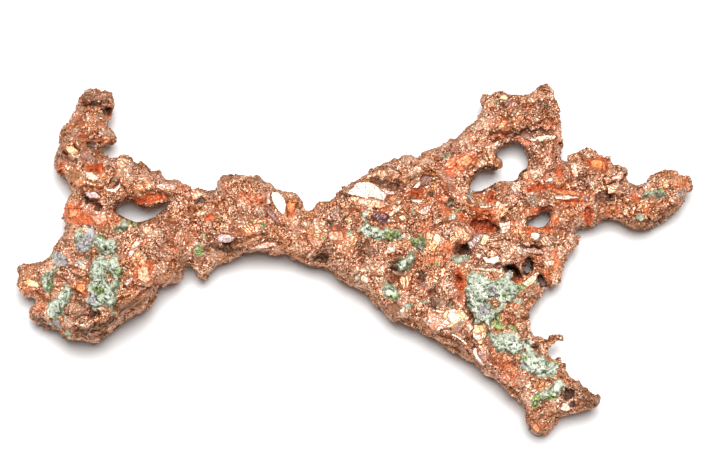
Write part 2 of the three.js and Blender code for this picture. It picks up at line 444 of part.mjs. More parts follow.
// Drops every island of samples but the largest.
function keepLargest(value, [nx, ny]) {
  const steps = [1, -1, nx, -nx, nx * ny, -nx * ny];
  const island = new Int32Array(value.length);
  let best = 0;
  let bestSize = 0;
  for (let start = 0, label = 0; start < value.length; start += 1) {
    if (value[start] <= 0 || island[start]) continue;
    label += 1;
    island[start] = label;
    const found = [start];
    for (let n = 0; n < found.length; n += 1) {
      for (const step of steps) {
        const next = found[n] + step;
        if (value[next] > 0 && !island[next]) {
          island[next] = label;
          found.push(next);
        }
      }
    }
    if (found.length > bestSize) {
      bestSize = found.length;
      best = label;
    }
  }
  for (let n = 0; n < value.length; n += 1) {
    if (value[n] > 0 && island[n] !== best) value[n] = -0.05;
  }
}

// Where two inside samples touch only across a corner, the samples between them are filled.
function fillPinches(value, [nx, ny, nz]) {
  const strides = [1, nx, nx * ny];
  const inside = (n) => value[n] > 0;
  const fill = (n) => {
    if (value[n] <= 0) value[n] = 0.05;
  };
  for (let changed = true; changed; ) {
    changed = false;
    for (let n = 0; n < nx * ny * (nz - 1) - nx - 1; n += 1) {
      for (const [a, b] of [[0, 1], [1, 2], [0, 2]]) {
        const p = n + strides[a];
        const q = n + strides[b];
        const r = p + strides[b];
        if (inside(n) === inside(r) && inside(p) === inside(q) && inside(n) !== inside(p)) {
          [n, p, q, r].forEach(fill);
          changed = true;
        }
      }
      const corners = [0, 1, 2, 3, 4, 5, 6, 7].map(
        (c) => n + (c & 1) * strides[0] + ((c >> 1) & 1) * strides[1] + (c >> 2) * strides[2],
      );
      const full = corners.filter(inside).length;
      for (let c = 0; c < 4 && (full === 2 || full === 6); c += 1) {
        const same = inside(corners[c]) === inside(corners[7 - c]);
        const pair = full === 2 ? inside(corners[c]) : !inside(corners[c]);
        if (same && pair) {
          corners.forEach(fill);
          changed = true;
        }
      }
    }
  }
}

// Moves a point onto the surface of a field, but not out of its own cell.
function settle(field, point, cellLow, facet) {
  const step = 0.02;
  for (let round = 0; round < 5; round += 1) {
    const [x, y, z] = point;
    const here = field(x, y, z);
    const slope = [
      (field(x + step, y, z) - field(x - step, y, z)) / (2 * step),
      (field(x, y + step, z) - field(x, y - step, z)) / (2 * step),
      (field(x, y, z + step) - field(x, y, z - step)) / (2 * step),
    ];
    const steep = Math.max(0.05, slope[0] ** 2 + slope[1] ** 2 + slope[2] ** 2);
    for (let axis = 0; axis < 3; axis += 1) {
      const moved = point[axis] - (0.8 * here * slope[axis]) / steep;
      const from = cellLow[axis] + 0.06 * facet[axis];
      point[axis] = Math.min(from + 0.88 * facet[axis], Math.max(from, moved));
    }
  }
}

// The closed skin of a field: one vertex in each cell that the surface crosses, and one
// four-sided facet, as two triangles, around each grid edge that it crosses.
function skin(field, low, high, facet) {
  const { value, count, at } = sampleField(field, low, high, facet);
  const [nx, ny, nz] = count;
  const positions = [];
  const vertexOf = new Map();
  const corners = [0, 1, 2, 3, 4, 5, 6, 7].map((c) => [c & 1, (c >> 1) & 1, c >> 2]);

  for (let k = 0; k < nz - 1; k += 1) {
    for (let j = 0; j < ny - 1; j += 1) {
      for (let i = 0; i < nx - 1; i += 1) {
        const here = corners.map(([a, b, c]) => value[at(i + a, j + b, k + c)]);
        const full = here.filter((v) => v > 0).length;
        if (full === 0 || full === 8) continue;
        const sum = [0, 0, 0];
        let crossings = 0;
        for (let c = 0; c < 8; c += 1) {
          for (let axis = 0; axis < 3; axis += 1) {
            const d = c | (1 << axis);
            if (d === c || here[c] > 0 === here[d] > 0) continue;
            const t = here[c] / (here[c] - here[d]);
            for (let n = 0; n < 3; n += 1) sum[n] += corners[c][n] + (n === axis ? t : 0);
            crossings += 1;
          }
        }
        const cellLow = [i, j, k].map((n, axis) => low[axis] + n * facet[axis]);
        const point = sum.map((v, axis) => cellLow[axis] + (v / crossings) * facet[axis]);
        settle(field, point, cellLow, facet);
        vertexOf.set(at(i, j, k), positions.length / 3);
        positions.push(...point);
      }
    }
  }

  const triangles = [];
  const apart = (a, b) => Math.hypot(
    positions[3 * a] - positions[3 * b],
    positions[3 * a + 1] - positions[3 * b + 1],
    positions[3 * a + 2] - positions[3 * b + 2],
  );
  const strides = [at(1, 0, 0), at(0, 1, 0), at(0, 0, 1)];
  for (let n = 0; n < value.length; n += 1) {
    for (let axis = 0; axis < 3; axis += 1) {
      const next = n + strides[axis];
      if (next >= value.length || value[n] > 0 === value[next] > 0) continue;
      const u = strides[(axis + 1) % 3];
      const v = strides[(axis + 2) % 3];
      const ring = [n - u - v, n - v, n, n - u].map((cell) => vertexOf.get(cell));
      if (value[n] <= 0) ring.reverse();
      const [a, b, c, d] = ring;
      if (apart(a, c) <= apart(b, d)) triangles.push(a, b, c, a, c, d);
      else triangles.push(a, b, d, b, c, d);
    }
  }
  const geometry = new THREE.BufferGeometry();
  geometry.setAttribute("position", new THREE.Float32BufferAttribute(positions, 3));
  geometry.setIndex(triangles);
  return geometry;
}

// ---------------------------------------------------------------- fewer facets
// The error of a point against the planes of the facets that met at a vertex: a symmetric
// 4 x 4 form, kept as its ten entries.
function planeForm(a, b, c) {
  const normal = b.clone().sub(a).cross(c.clone().sub(a));
  const area = normal.length();
  normal.divideScalar(area || 1);
  const { x, y, z } = normal;
  const w = -normal.dot(a);
  return [x * x, x * y, x * z, x * w, y * y, y * z, y * w, z * z, z * w, w * w]
    .map((entry) => entry * area);
}

function errorAt(q, { x, y, z }) {
  return q[0] * x * x + q[4] * y * y + q[7] * z * z + q[9]
    + 2 * (q[1] * x * y + q[2] * x * z + q[3] * x + q[5] * y * z + q[6] * y + q[8] * z);
}

// Draws short edges together where that moves the surface least, until few enough facets are
// left. No edge goes that would pinch the skin or turn a facet over.
function thinOut(geometry, share) {
  const place = geometry.attributes.position;
  const points = Array.from({ length: place.count }, (_, n) =>
    new THREE.Vector3().fromBufferAttribute(place, n));
  const faces = [];
  const fans = points.map(() => new Set());
  const forms = points.map(() => new Array(10).fill(0));
  for (let n = 0; n < geometry.index.count; n += 3) {
    const face = [0, 1, 2].map((c) => geometry.index.getX(n + c));
    const form = planeForm(...face.map((v) => points[v]));
    for (const v of face) {
      fans[v].add(faces.length);
      form.forEach((entry, k) => { forms[v][k] += entry; });
    }
    faces.push(face);
  }
  const around = (v) => new Set([...fans[v]].flatMap((f) => faces[f]).filter((n) => n !== v));
  const turnsOver = (v, other, to) => [...fans[v]].some((f) => {
    if (faces[f].includes(other)) return false;
    const old = new THREE.Triangle(...faces[f].map((n) => points[n])).getNormal(new THREE.Vector3());
    const moved = new THREE.Triangle(...faces[f].map((n) => (n === v ? to : points[n])));
    return moved.getArea() < 0.02 || old.dot(moved.getNormal(new THREE.Vector3())) < 0.3;
  });

  let left = faces.length;
  const target = share * faces.length;
  while (left > target) {
    const edges = [];
    for (let a = 0; a < points.length; a += 1) {
      for (const b of fans[a].size ? around(a) : []) {
        if (b < a) continue;
        const form = forms[a].map((entry, k) => entry + forms[b][k]);
        const middle = points[a].clone().lerp(points[b], 0.5);
        const to = [middle, points[a], points[b]]
          .reduce((best, p) => (errorAt(form, p) < errorAt(form, best) ? p : best));
        const length = points[a].distanceToSquared(points[b]);
        edges.push({ a, b, form, to: to.clone(), cost: errorAt(form, to) + 0.002 * length });
      }
    }
    edges.sort((p, q) => p.cost - q.cost);
    const touched = new Set();
    const before = left;
    for (const { a, b, form, to } of edges.slice(0, edges.length / 4)) {
      if (left <= target) break;
      if (touched.has(a) || touched.has(b)) continue;
      const nearA = around(a);
      const shared = [...around(b)].filter((n) => nearA.has(n));
      if (shared.length !== 2 || turnsOver(a, b, to) || turnsOver(b, a, to)) continue;
      for (const f of fans[b]) {
        if (faces[f].includes(a)) {
          faces[f].forEach((n) => n !== b && fans[n].delete(f));
          faces[f] = null;
          left -= 1;
        } else {
          faces[f] = faces[f].map((n) => (n === b ? a : n));
          fans[a].add(f);
        }
      }
      fans[b].clear();
      points[a] = to;
      forms[a] = form;
      touched.add(a);
      around(a).forEach((n) => touched.add(n));
    }
    if (left === before) break;
  }
  const thinned = new THREE.BufferGeometry();
  thinned.setAttribute("position", new THREE.Float32BufferAttribute(
    points.flatMap((p) => p.toArray()), 3));
  thinned.setIndex(faces.filter(Boolean).flat());
  return thinned;
}

// ---------------------------------------------------------------- solids
function solidOf(geometry) {
  geometry.deleteAttribute("normal");
  geometry.deleteAttribute("uv");
  const merged = mergeVertices(geometry, 1e-4);
  return new wasm.Manifold(new wasm.Mesh({
    numProp: 3,
    vertProperties: new Float32Array(merged.attributes.position.array),
    triVerts: new Uint32Array(merged.index.array),
  }));
}

function geometryOf(solid) {
  const mesh = solid.getMesh();
  const geometry = new THREE.BufferGeometry();
  geometry.setAttribute("position", new THREE.BufferAttribute(mesh.vertProperties, 3));
  geometry.setIndex(new THREE.BufferAttribute(mesh.triVerts, 1));
  return geometry;
}

// An upright prism over an outline.
function prism(outline, bottom, top) {
  const shape = new THREE.Shape(outline.map(([x, y]) => new THREE.Vector2(x, y)));
  const geometry = new THREE.ExtrudeGeometry(shape, { depth: top - bottom, bevelEnabled: false });
  geometry.translate(0, 0, bottom);
  return solidOf(geometry);
}

// The saw cut between two points: a thin upright wall.
function sawCut([[ax, ay], [bx, by]]) {
  const geometry = new THREE.BoxGeometry(Math.hypot(bx - ax, by - ay), PARTING, 60);
  geometry.rotateZ(Math.atan2(by - ay, bx - ax));
  geometry.translate((ax + bx) / 2, (ay + by) / 2, 0);
  return solidOf(geometry);
}

function pinhole([x, y, radius]) {
  const geometry = new THREE.CylinderGeometry(radius * 1.15, radius, 40, 8);
  geometry.rotateX(Math.PI / 2);
  geometry.translate(x, y, 5);
  return solidOf(geometry);
}

// ---------------------------------------------------------------- the nugget
const bounds = new THREE.Box2().setFromPoints(OUTLINE.map(([x, y]) => new THREE.Vector2(x, y)));

function buildCopper() {
  const low = [bounds.min.x - 3, bounds.min.y - 3, -4];
  const high = [bounds.max.x + 3, bounds.max.y + 3, 20];
  let copper = solidOf(thinOut(skin(copperField, low, high, FACET), KEPT_FACETS));
  copper = copper.intersect(prism([[-80, -50], [80, -50], [80, 50], [-80, 50]], 0, 40));
  for (const hole of PINHOLES) copper = copper.subtract(pinhole(hole));
  for (const cut of Object.values(CUTS)) copper = copper.subtract(sawCut(cut));
  return copper;
}

function buildCrust({ rounds }) {
  const reach = Math.max(...rounds.map((round) => round[2])) + 2 * CRUST_FACET[0];
  const xs = rounds.map((round) => round[0]);
  const ys = rounds.map((round) => round[1]);
  const shift = DRAWN_SLANT * 12;
  const low = [Math.min(...xs) - reach, Math.min(...ys) - reach - shift, 1];
  const high = [Math.max(...xs) + reach, Math.max(...ys) + reach, 20];
  return solidOf(thinOut(skin(crustField(rounds), low, high, CRUST_FACET), KEPT_FACETS));
}

// Leans a finished geometry forward, so that its walls follow WALL_LEAN.
function leant(geometry) {
  const position = geometry.getAttribute("position");
  for (let n = 0; n < position.count; n += 1) {
    position.setY(n, position.getY(n) - WALL_LEAN * (position.getZ(n) - DRAWN_LEVEL));
  }
  return geometry;
}

function named(name, solid, look) {
  const mesh = new THREE.Mesh(leant(geometryOf(solid)), new THREE.MeshStandardMaterial(look));
  mesh.name = name;
  return mesh;
}

const nugget = new THREE.Group();
const copper = buildCopper();
for (const { name, room } of PIECES) {
  nugget.add(named(name, copper.intersect(prism(room, -5, 45)), COPPER));
}
for (const crust of CRUSTS) {
  const look = { color: crust.colour, roughness: 0.75, metalness: 0.0 };
  nugget.add(named(crust.name, buildCrust(crust), look));
}

// The origin is under the middle of the nugget, on the surface that it rests on.
const size = new THREE.Box3().setFromObject(nugget, true);
nugget.position.set(-(size.min.x + size.max.x) / 2, -(size.min.y + size.max.y) / 2, -size.min.z);

export default nugget;
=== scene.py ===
# %% [markdown]
# A native copper nugget, finished in Blender around its CAD model. The CAD model gives the true
# size and the form. Here the bare form gets what makes it copper: crystal faces, hackly grain,
# red hollows, crusts of pale minerals, and light.

# %% Load the frame
import json
import math

import bmesh
import bpy
import numpy as np
from mathutils import Matrix, Vector
from mathutils.bvhtree import BVHTree


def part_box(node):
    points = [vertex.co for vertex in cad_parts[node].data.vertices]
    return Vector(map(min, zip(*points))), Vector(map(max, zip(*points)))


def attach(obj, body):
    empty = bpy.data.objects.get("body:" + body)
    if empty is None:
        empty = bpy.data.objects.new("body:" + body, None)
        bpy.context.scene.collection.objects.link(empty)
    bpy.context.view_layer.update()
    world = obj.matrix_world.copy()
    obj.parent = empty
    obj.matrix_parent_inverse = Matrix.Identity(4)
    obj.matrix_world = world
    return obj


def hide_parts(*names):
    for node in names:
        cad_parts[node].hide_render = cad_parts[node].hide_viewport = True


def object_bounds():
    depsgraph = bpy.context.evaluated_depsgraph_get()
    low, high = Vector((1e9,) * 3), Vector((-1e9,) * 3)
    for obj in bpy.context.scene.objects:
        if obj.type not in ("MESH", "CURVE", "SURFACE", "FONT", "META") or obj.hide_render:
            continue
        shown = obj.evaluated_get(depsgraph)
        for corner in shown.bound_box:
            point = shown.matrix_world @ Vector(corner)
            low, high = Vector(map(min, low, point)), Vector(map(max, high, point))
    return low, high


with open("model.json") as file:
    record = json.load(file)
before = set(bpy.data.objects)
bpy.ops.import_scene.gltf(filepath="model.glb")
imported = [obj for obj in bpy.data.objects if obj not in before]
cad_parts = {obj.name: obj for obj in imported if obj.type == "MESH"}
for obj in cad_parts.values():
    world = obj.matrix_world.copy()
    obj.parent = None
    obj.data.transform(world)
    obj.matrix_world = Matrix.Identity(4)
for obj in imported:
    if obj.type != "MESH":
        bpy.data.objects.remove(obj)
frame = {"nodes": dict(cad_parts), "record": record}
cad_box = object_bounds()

COPPER_NODES = ["hook_arm", "left_lobe", "neck", "body", "top_prong", "right_arm", "leg"]
CRUST_NODES = sorted(n for n in frame["nodes"] if n not in COPPER_NODES)
NUGGET_LENGTH = 123.0  # in millimetres
MM = (cad_box[1].x - cad_box[0].x) / NUGGET_LENGTH
print("nugget", [round(v / MM, 1) for v in cad_box[1] - cad_box[0]], "mm")
print("copper pieces", len(COPPER_NODES), "crusts", len(CRUST_NODES))

# %% [markdown]
# The nugget is looked at from above, leaning a little to the front. Places on its top are given
# as they are seen from there: x across and y up the page, in millimetres, on a plane through the
# middle of its thickness. A point that stands higher is seen further up the page. With this one
# rule every vertex knows its place on the page, so a face, a ridge or a stain can be laid on it.

# %% Places on the page
LEAN = math.radians(15)
PAGE_LEVEL = 5.5
PAGE_MIDDLE = (0.075, 0.12)


def page(points):
    """Where points of the nugget, in metres, are seen on the page, in millimetres."""
    x = points[:, 0] / MM + PAGE_MIDDLE[0]
    y = points[:, 1] / MM + PAGE_MIDDLE[1] + math.tan(LEAN) * (points[:, 2] / MM - PAGE_LEVEL)
    return x, y


def oval(x, y, cx, cy, length, width, turn):
    """Distance from the middle of an oval, 1 on its rim."""
    a = math.radians(turn)
    along = ((x - cx) * math.cos(a) + (y - cy) * math.sin(a)) / length
    across = ((y - cy) * math.cos(a) - (x - cx) * math.sin(a)) / width
    return np.sqrt(along**2 + across**2)


def wobbled(x, y):
    """Places shifted by up to a third of a millimetre, so that ovals get ragged rims."""
    x_shift = 0.20 * np.sin(2.3 * y + 1.7 * x) + 0.13 * np.sin(5.1 * y - 3.3 * x + 1.0)
    y_shift = 0.20 * np.sin(2.7 * x - 1.3 * y + 2.0) + 0.13 * np.sin(4.7 * x + 3.9 * y)
    return x + x_shift, y + y_shift


def ramp(low, high, value):
    """0 up to low, 1 from high, and a soft rise between."""
    t = np.clip((value - low) / (high - low), 0, 1)
    return t * t * (3 - 2 * t)


# %% [markdown]
# Every shape below starts as arrays of points and faces. These helpers read a mesh into arrays and
# back, and turn an object with its modifiers into a plain mesh.

# %% Mesh helpers
def vectors_of(items, field):
    """One vector for each item, as rows."""
    flat = np.empty(len(items) * 3, np.float32)
    items.foreach_get(field, flat)
    return flat.reshape(-1, 3).astype(float)


def points_of(mesh):
    return vectors_of(mesh.vertices, "co")


def normals_of(mesh):
    return vectors_of(mesh.vertices, "normal")


def set_points(mesh, points):
    mesh.vertices.foreach_set("co", points.astype(np.float32).ravel())
    mesh.update()


def set_value(mesh, name, values):
    """One number, or one vector, for each vertex."""
    kind = "FLOAT" if values.ndim == 1 else "FLOAT_VECTOR"
    layer = mesh.attributes.get(name) or mesh.attributes.new(name, kind, "POINT")
    field = "value" if values.ndim == 1 else "vector"
    layer.data.foreach_set(field, values.astype(np.float32).ravel())


def show(name, mesh):
    piece = bpy.data.objects.new(name, mesh)
    bpy.context.scene.collection.objects.link(piece)
    return piece


def frozen(piece):
    """The mesh of a piece with its modifiers carried out; the piece keeps no modifiers."""
    bpy.context.view_layer.update()
    graph = bpy.context.evaluated_depsgraph_get()
    mesh = bpy.data.meshes.new_from_object(piece.evaluated_get(graph))
    piece.modifiers.clear()
    old = piece.data
    piece.data = mesh
    bpy.data.meshes.remove(old)
    return mesh


def joined_copy(nodes, grow):
    """CAD nodes as one mesh, each grown outwards so that neighbours run into each other."""
    whole = bmesh.new()
    for node in nodes:
        part = bmesh.new()
        part.from_mesh(frame["nodes"][node].data)
        bmesh.ops.remove_doubles(part, verts=part.verts, dist=0.002 * MM)
        part.normal_update()
        for vertex in part.verts:
            vertex.co += vertex.normal * grow
        mesh = bpy.data.meshes.new("part")
        part.to_mesh(mesh)
        part.free()
        whole.from_mesh(mesh)
        bpy.data.meshes.remove(mesh)
    mesh = bpy.data.meshes.new("whole")
    whole.to_mesh(mesh)
    whole.free()
    return mesh


def neighbour_average(mesh, values, rounds):
    """Values smoothed over the mesh: each round, every vertex takes the mean of its neighbours."""
    ends = np.empty(len(mesh.edges) * 2, np.int32)
    mesh.edges.foreach_get("vertices", ends)
    a, b = ends.reshape(-1, 2).T
    count = len(mesh.vertices)
    degree = np.bincount(a, minlength=count) + np.bincount(b, minlength=count)
    columns = values.reshape(count, -1).astype(float)
    for _ in range(rounds):
        totals = [np.bincount(a, c[b], count) + np.bincount(b, c[a], count) for c in columns.T]
        mean = np.stack(totals, axis=1) / np.maximum(degree, 1)[:, None]
        columns = 0.5 * columns + 0.5 * mean
    return columns.reshape(values.shape)


# %% [markdown]
# Shapes on the page are given as outlines, the corners in order. Openings go right through: the
# gap beside the hooked arm, the double hole under the prong, and the eye. Pits are holes that a
# mineral left behind; each has a depth below the skin around it.

# %% Openings and pits
OPENINGS = {
    "gap": [
        (-43.7, 9.2), (-42.8, 10.2), (-41.8, 10.9), (-40.7, 11.0), (-40.0, 10.4), (-38.6, 9.5),
        (-37.4, 9.5), (-36.6, 10.0), (-35.2, 10.0), (-34.3, 10.7), (-33.1, 10.9), (-34.0, 9.8),
        (-35.2, 8.8), (-36.6, 7.8), (-38.0, 7.2), (-39.6, 6.9), (-41.2, 7.5), (-42.8, 8.4),
    ],
    "double hole": [
        (26.0, 19.4), (26.2, 20.6), (26.9, 21.3), (28.2, 21.6), (29.3, 22.0), (30.4, 21.5),
        (31.0, 20.1), (31.6, 18.6), (31.6, 17.2), (30.7, 16.8), (30.0, 16.1), (29.8, 15.1),
        (28.8, 14.7), (26.4, 14.7), (25.0, 14.2), (23.9, 13.8), (22.9, 12.9), (21.7, 12.7),
        (21.0, 13.3), (21.3, 14.5), (22.2, 15.5), (23.3, 16.6), (24.0, 17.0), (25.1, 16.5),
        (26.3, 16.7), (27.0, 17.4), (26.9, 18.6),
    ],
    "eye": [
        (30.9, 7.1), (32.1, 7.5), (33.3, 7.8), (33.8, 8.6), (35.0, 8.8), (35.6, 8.2),
        (35.5, 7.2), (34.5, 6.3), (33.1, 6.0), (31.8, 6.3),
    ],
}
# depth, a red stain or painted black shade, corners
PITS = [
    (8.0, "painted_shade", [(26.5, 7.4), (26.8, 7.8), (27.4, 7.8), (27.5, 7.3), (27.1, 6.9)]),
    (6.0, "painted_shade", [(25.4, 5.9), (25.4, 6.9), (25.7, 7.2), (26.0, 6.6), (25.9, 5.8), (25.6, 5.3)]),
    (6.0, "painted_shade", [
        (27.1, -0.8), (28.2, -1.1), (29.6, -1.3), (30.0, -2.6), (30.2, -3.6), (29.2, -3.4),
        (28.6, -2.5), (28.0, -2.3), (27.3, -2.4)]),
    (5.0, "painted_shade", [
        (31.0, 0.3), (31.6, 0.5), (32.5, 0.1), (32.6, -1.0), (32.3, -2.0), (31.2, -2.7),
        (30.2, -2.8), (30.6, -1.6), (31.0, -0.8)]),
    (6.0, "painted_shade", [
        (32.9, -2.8), (33.8, -2.9), (34.6, -3.9), (35.2, -5.2), (34.0, -5.2), (33.3, -4.2)]),
    (1.8, "red", [
        (20.9, 6.2), (21.1, 7.0), (21.9, 7.6), (22.8, 7.6), (24.4, 7.8), (25.1, 7.3), (25.2, 5.9),
        (24.8, 5.0), (23.6, 5.2), (22.4, 5.1), (21.3, 5.4)]),
    (1.6, "painted_shade", [(18.8, 1.0), (19.6, 2.8), (20.4, 3.2), (20.9, 1.6), (20.6, 0.6), (19.4, 0.4)]),
    (2.0, "painted_shade", [
        (-46.1, 28.2), (-45.4, 28.9), (-44.6, 28.9), (-44.3, 27.8), (-44.4, 26.9), (-45.2, 26.9)]),
    (4.0, "painted_shade", [(38.9, -26.6), (39.5, -26.7), (39.9, -27.3), (39.5, -27.8), (38.9, -27.4)]),
    (1.8, "painted_shade", [
        (37.7, -24.3), (38.8, -24.1), (39.7, -24.6), (39.5, -25.5), (38.4, -25.9), (37.8, -25.4)]),
    (1.1, "painted_shade", [(-29.2, 10.9), (-28.6, 11.4), (-27.6, 11.7), (-27.4, 11.3), (-28.8, 10.7)]),
    (1.4, "painted_shade", [(-7.8, 0.2), (-6.4, 0.6), (-5.0, 1.0), (-4.8, 0.2), (-5.8, -0.6), (-7.4, -0.4)]),
    (1.2, "painted_shade", [(16.8, 10.4), (17.1, 11.2), (17.7, 10.9), (17.9, 10.1), (17.3, 9.7)]),
    (1.2, "painted_shade", [(13.5, 12.2), (13.8, 12.8), (14.3, 12.6), (14.2, 11.9), (13.8, 11.7)]),
    (1.0, "red", [
        (24.2, 11.2), (24.4, 12.2), (25.0, 13.0), (25.6, 12.8), (25.3, 11.8), (24.8, 10.9)]),
    (1.0, "painted_shade", [(16.8, -7.4), (17.4, -7.2), (17.9, -7.8), (17.6, -8.6), (17.0, -8.7)]),
    (0.9, "painted_shade", [(11.8, -2.2), (12.3, -2.2), (12.4, -3.2), (11.9, -3.4)]),
    (0.9, "painted_shade", [(40.4, 15.1), (41.4, 15.2), (41.8, 14.8), (41.0, 14.6)]),
    (0.9, "red", [
        (41.8, 9.6), (42.6, 9.9), (43.2, 8.6), (43.1, 7.0), (42.4, 6.2), (41.9, 7.2), (42.0, 8.4)]),
    (1.0, "painted_shade", [(7.4, -0.9), (8.4, -0.3), (8.8, 0.2), (8.0, 0.2), (7.0, -0.2), (6.6, -0.8)]),
    (1.0, "painted_shade", [(32.2, -15.8), (33.2, -15.6), (33.3, -16.3), (32.6, -16.6)]),
    (1.0, "red", [(18.4, -2.6), (19.3, -2.4), (19.8, -3.4), (19.0, -4.6), (18.3, -4.0)]),
]


def inside(outline, x, y):
    """Which places lie inside an outline."""
    odd = np.zeros(len(x), bool)
    for (ax, ay), (bx, by) in zip(outline, outline[1:] + outline[:1]):
        if ay != by:
            odd ^= ((ay > y) != (by > y)) & (x < ax + (y - ay) * (bx - ax) / (by - ay))
    return odd


def nearest_on(corners, x, y, closed=True):
    """The nearest place on a line through corners, and how far away it is."""
    best = np.full(len(x), 1e9)
    near_x = np.zeros(len(x))
    near_y = np.zeros(len(x))
    ends = corners[1:] + corners[:1] if closed else corners[1:]
    for (ax, ay), (bx, by) in zip(corners, ends):
        run = (bx - ax) ** 2 + (by - ay) ** 2
        t = np.clip(((x - ax) * (bx - ax) + (y - ay) * (by - ay)) / run, 0, 1)
        px = ax + t * (bx - ax)
        py = ay + t * (by - ay)
        far = np.hypot(x - px, y - py)
        nearer = far < best
        best[nearer] = far[nearer]
        near_x[nearer] = px[nearer]
        near_y[nearer] = py[nearer]
    return near_x, near_y, best


def around(corners, x, y, reach):
    """The numbers of the places within reach of the corners' box."""
    xs, ys = zip(*corners)
    wide = (x > min(xs) - reach) & (x < max(xs) + reach)
    return np.nonzero(wide & (y > min(ys) - reach) & (y < max(ys) + reach))[0]


def depth_inside(outline, x, y):
    """How far inside an outline each place lies, in millimetres; negative outside, to -1."""
    depth = np.full(len(x), -1.0)
    near = around(outline, x, y, 1.0)
    rim = nearest_on(outline, x[near], y[near])[2]
    depth[near] = np.where(inside(outline, x[near], y[near]), rim, -np.minimum(rim, 1.0))
    return depth


def clear_openings(points):
    """Pushes grown skin out of every opening, back to its rim."""
    for outline in OPENINGS.values():
        x, y = page(points)
        within = np.nonzero(inside(outline, x, y))[0]
        rim_x, rim_y = nearest_on(outline, x[within], y[within])[:2]
        points[within, 0] += (rim_x - x[within]) * MM
        points[within, 1] += (rim_y - y[within]) * MM
    return points


def line_of_sight(x, y, z):
    """The point of the nugget that is seen at a place on the page and lies at a height."""
    back_y = y - PAGE_MIDDLE[1] - math.tan(LEAN) * (z - PAGE_LEVEL)
    return Vector((x - PAGE_MIDDLE[0], back_y, z)) * MM


def widened(outline, width):
    """An outline moved outwards by a width in millimetres."""
    before = outline[-1:] + outline[:-1]
    after = outline[1:] + outline[:1]
    turns = sum(ax * by - bx * ay for (ax, ay), (bx, by) in zip(outline, after))
    side = math.copysign(width, turns)
    moved = []
    for (ax, ay), (bx, by), (cx, cy) in zip(before, outline, after):
        along = Vector((bx - ax, by - ay)).normalized() + Vector((cx - bx, cy - by)).normalized()
        along.normalize()
        moved.append((bx + along.y * side, by - along.x * side))
    return moved


def prism(work, outline, low, high):
    """A closed prism along the line of sight between two heights."""
    below = [work.verts.new(line_of_sight(x, y, low)) for x, y in outline]
    above = [work.verts.new(line_of_sight(x, y, high)) for x, y in outline]
    work.faces.new(below)
    work.faces.new(above)
    for i in range(len(outline)):
        j = (i + 1) % len(outline)
        work.faces.new([below[i], below[j], above[j], above[i]])


print("openings", list(OPENINGS), "and", len(PITS), "pits")

# %% [markdown]
# The CAD copper is cut where it forks, with a hair of air in each cut, but the real piece grew
# whole. The nodes are grown by a fifth of a millimetre, so that they meet, and remeshed into one
# skin. The openings and pits are cut out of it with steep sides. A second remesh gives one even
# skin of small squares, which takes fine relief equally well all over.

# %% The blank of the copper
GROW = 0.22 * MM
SKIN_STEP = 0.46 * MM
UNDER, OVER = -3.0, 25.0  # heights clear of the nugget, in millimetres
PIT_LEVEL = 8.0  # the height of the skin over a pit, where it can't be measured
PIT_FLOOR = 1.2  # no pit goes deeper than this height
OPENING_ROOM = 0.25  # kept free round each opening for the grain
KNOB_BALLS = 7
SKIN_ROUNDS = 2  # of smoothing


def add_remesh(piece, step):
    remesh = piece.modifiers.new("skin", "REMESH")
    remesh.mode = "VOXEL"
    remesh.voxel_size = step


# from x, y to x, y, radius there and there
KNOBS = [
    (42.2, 19.4, 42.5, 21.3, 0.9, 0.35), (39.8, 18.6, 39.1, 19.7, 0.6, 0.35),
    (45.6, 18.5, 46.9, 19.6, 0.7, 0.40), (54.6, 14.8, 54.0, 15.6, 0.5, 0.30),
    (42.4, 7.8, 42.5, 6.2, 0.8, 0.40), (39.2, 4.9, 40.5, 4.4, 0.6, 0.40),
    (33.6, -16.2, 37.0, -14.9, 0.9, 0.65), (33.2, -15.0, 35.2, -15.0, 0.6, 0.40),
    (36.4, -19.0, 37.6, -18.4, 0.6, 0.35), (37.0, -20.8, 37.7, -19.9, 0.6, 0.40),
    (-49.9, 29.7, -48.6, 31.0, 0.75, 0.75), (-44.8, 28.6, -44.3, 27.2, 0.6, 0.45),
    (-36.4, 16.2, -35.5, 17.2, 0.6, 0.35), (-6.8, 9.8, -6.0, 10.8, 0.6, 0.35),
]


def add_knobs(mesh):
    """Small round stubs on the rim, each a row of balls at the height of the copper beside it."""
    points = points_of(mesh)
    x, y = page(points)
    work = bmesh.new()
    work.from_mesh(mesh)
    for ax, ay, bx, by, first, last in KNOBS:
        near = np.hypot(x - ax, y - ay) < 2.5
        level = float(np.median(points[near, 2])) / MM
        for t in np.linspace(0, 1, KNOB_BALLS):
            place = line_of_sight(ax + t * (bx - ax), ay + t * (by - ay), level)
            radius = (first + t * (last - first)) * MM
            bmesh.ops.create_icosphere(
                work, subdivisions=2, radius=radius, matrix=Matrix.Translation(place)
            )
    work.to_mesh(mesh)
    work.free()
    return mesh


blank = show("blank", add_knobs(joined_copy(COPPER_NODES, GROW)))
add_remesh(blank, SKIN_STEP)
mesh = frozen(blank)
points = points_of(mesh)
x, y = page(points)
top = normals_of(mesh)[:, 2] > 0.5

work = bmesh.new()
for outline in OPENINGS.values():
    prism(work, widened(outline, OPENING_ROOM), UNDER, OVER)
for depth, _, outline in PITS:
    under = top & inside(outline, x, y)
    level = float(np.median(points[under, 2])) / MM if under.any() else PIT_LEVEL
    prism(work, outline, max(level - depth, PIT_FLOOR), OVER)
bmesh.ops.recalc_face_normals(work, faces=work.faces)
cutters = bpy.data.meshes.new("cutters")
work.to_mesh(cutters)
work.free()
cutter = show("cutters", cutters)
cut = blank.modifiers.new("cut", "BOOLEAN")
cut.operation = "DIFFERENCE"
cut.solver = "MANIFOLD"
cut.object = cutter
add_remesh(blank, SKIN_STEP)
mesh = frozen(blank)
bpy.data.objects.remove(cutter)
set_points(mesh, neighbour_average(mesh, points_of(mesh), SKIN_ROUNDS))
print("blank", len(mesh.vertices), "vertices")

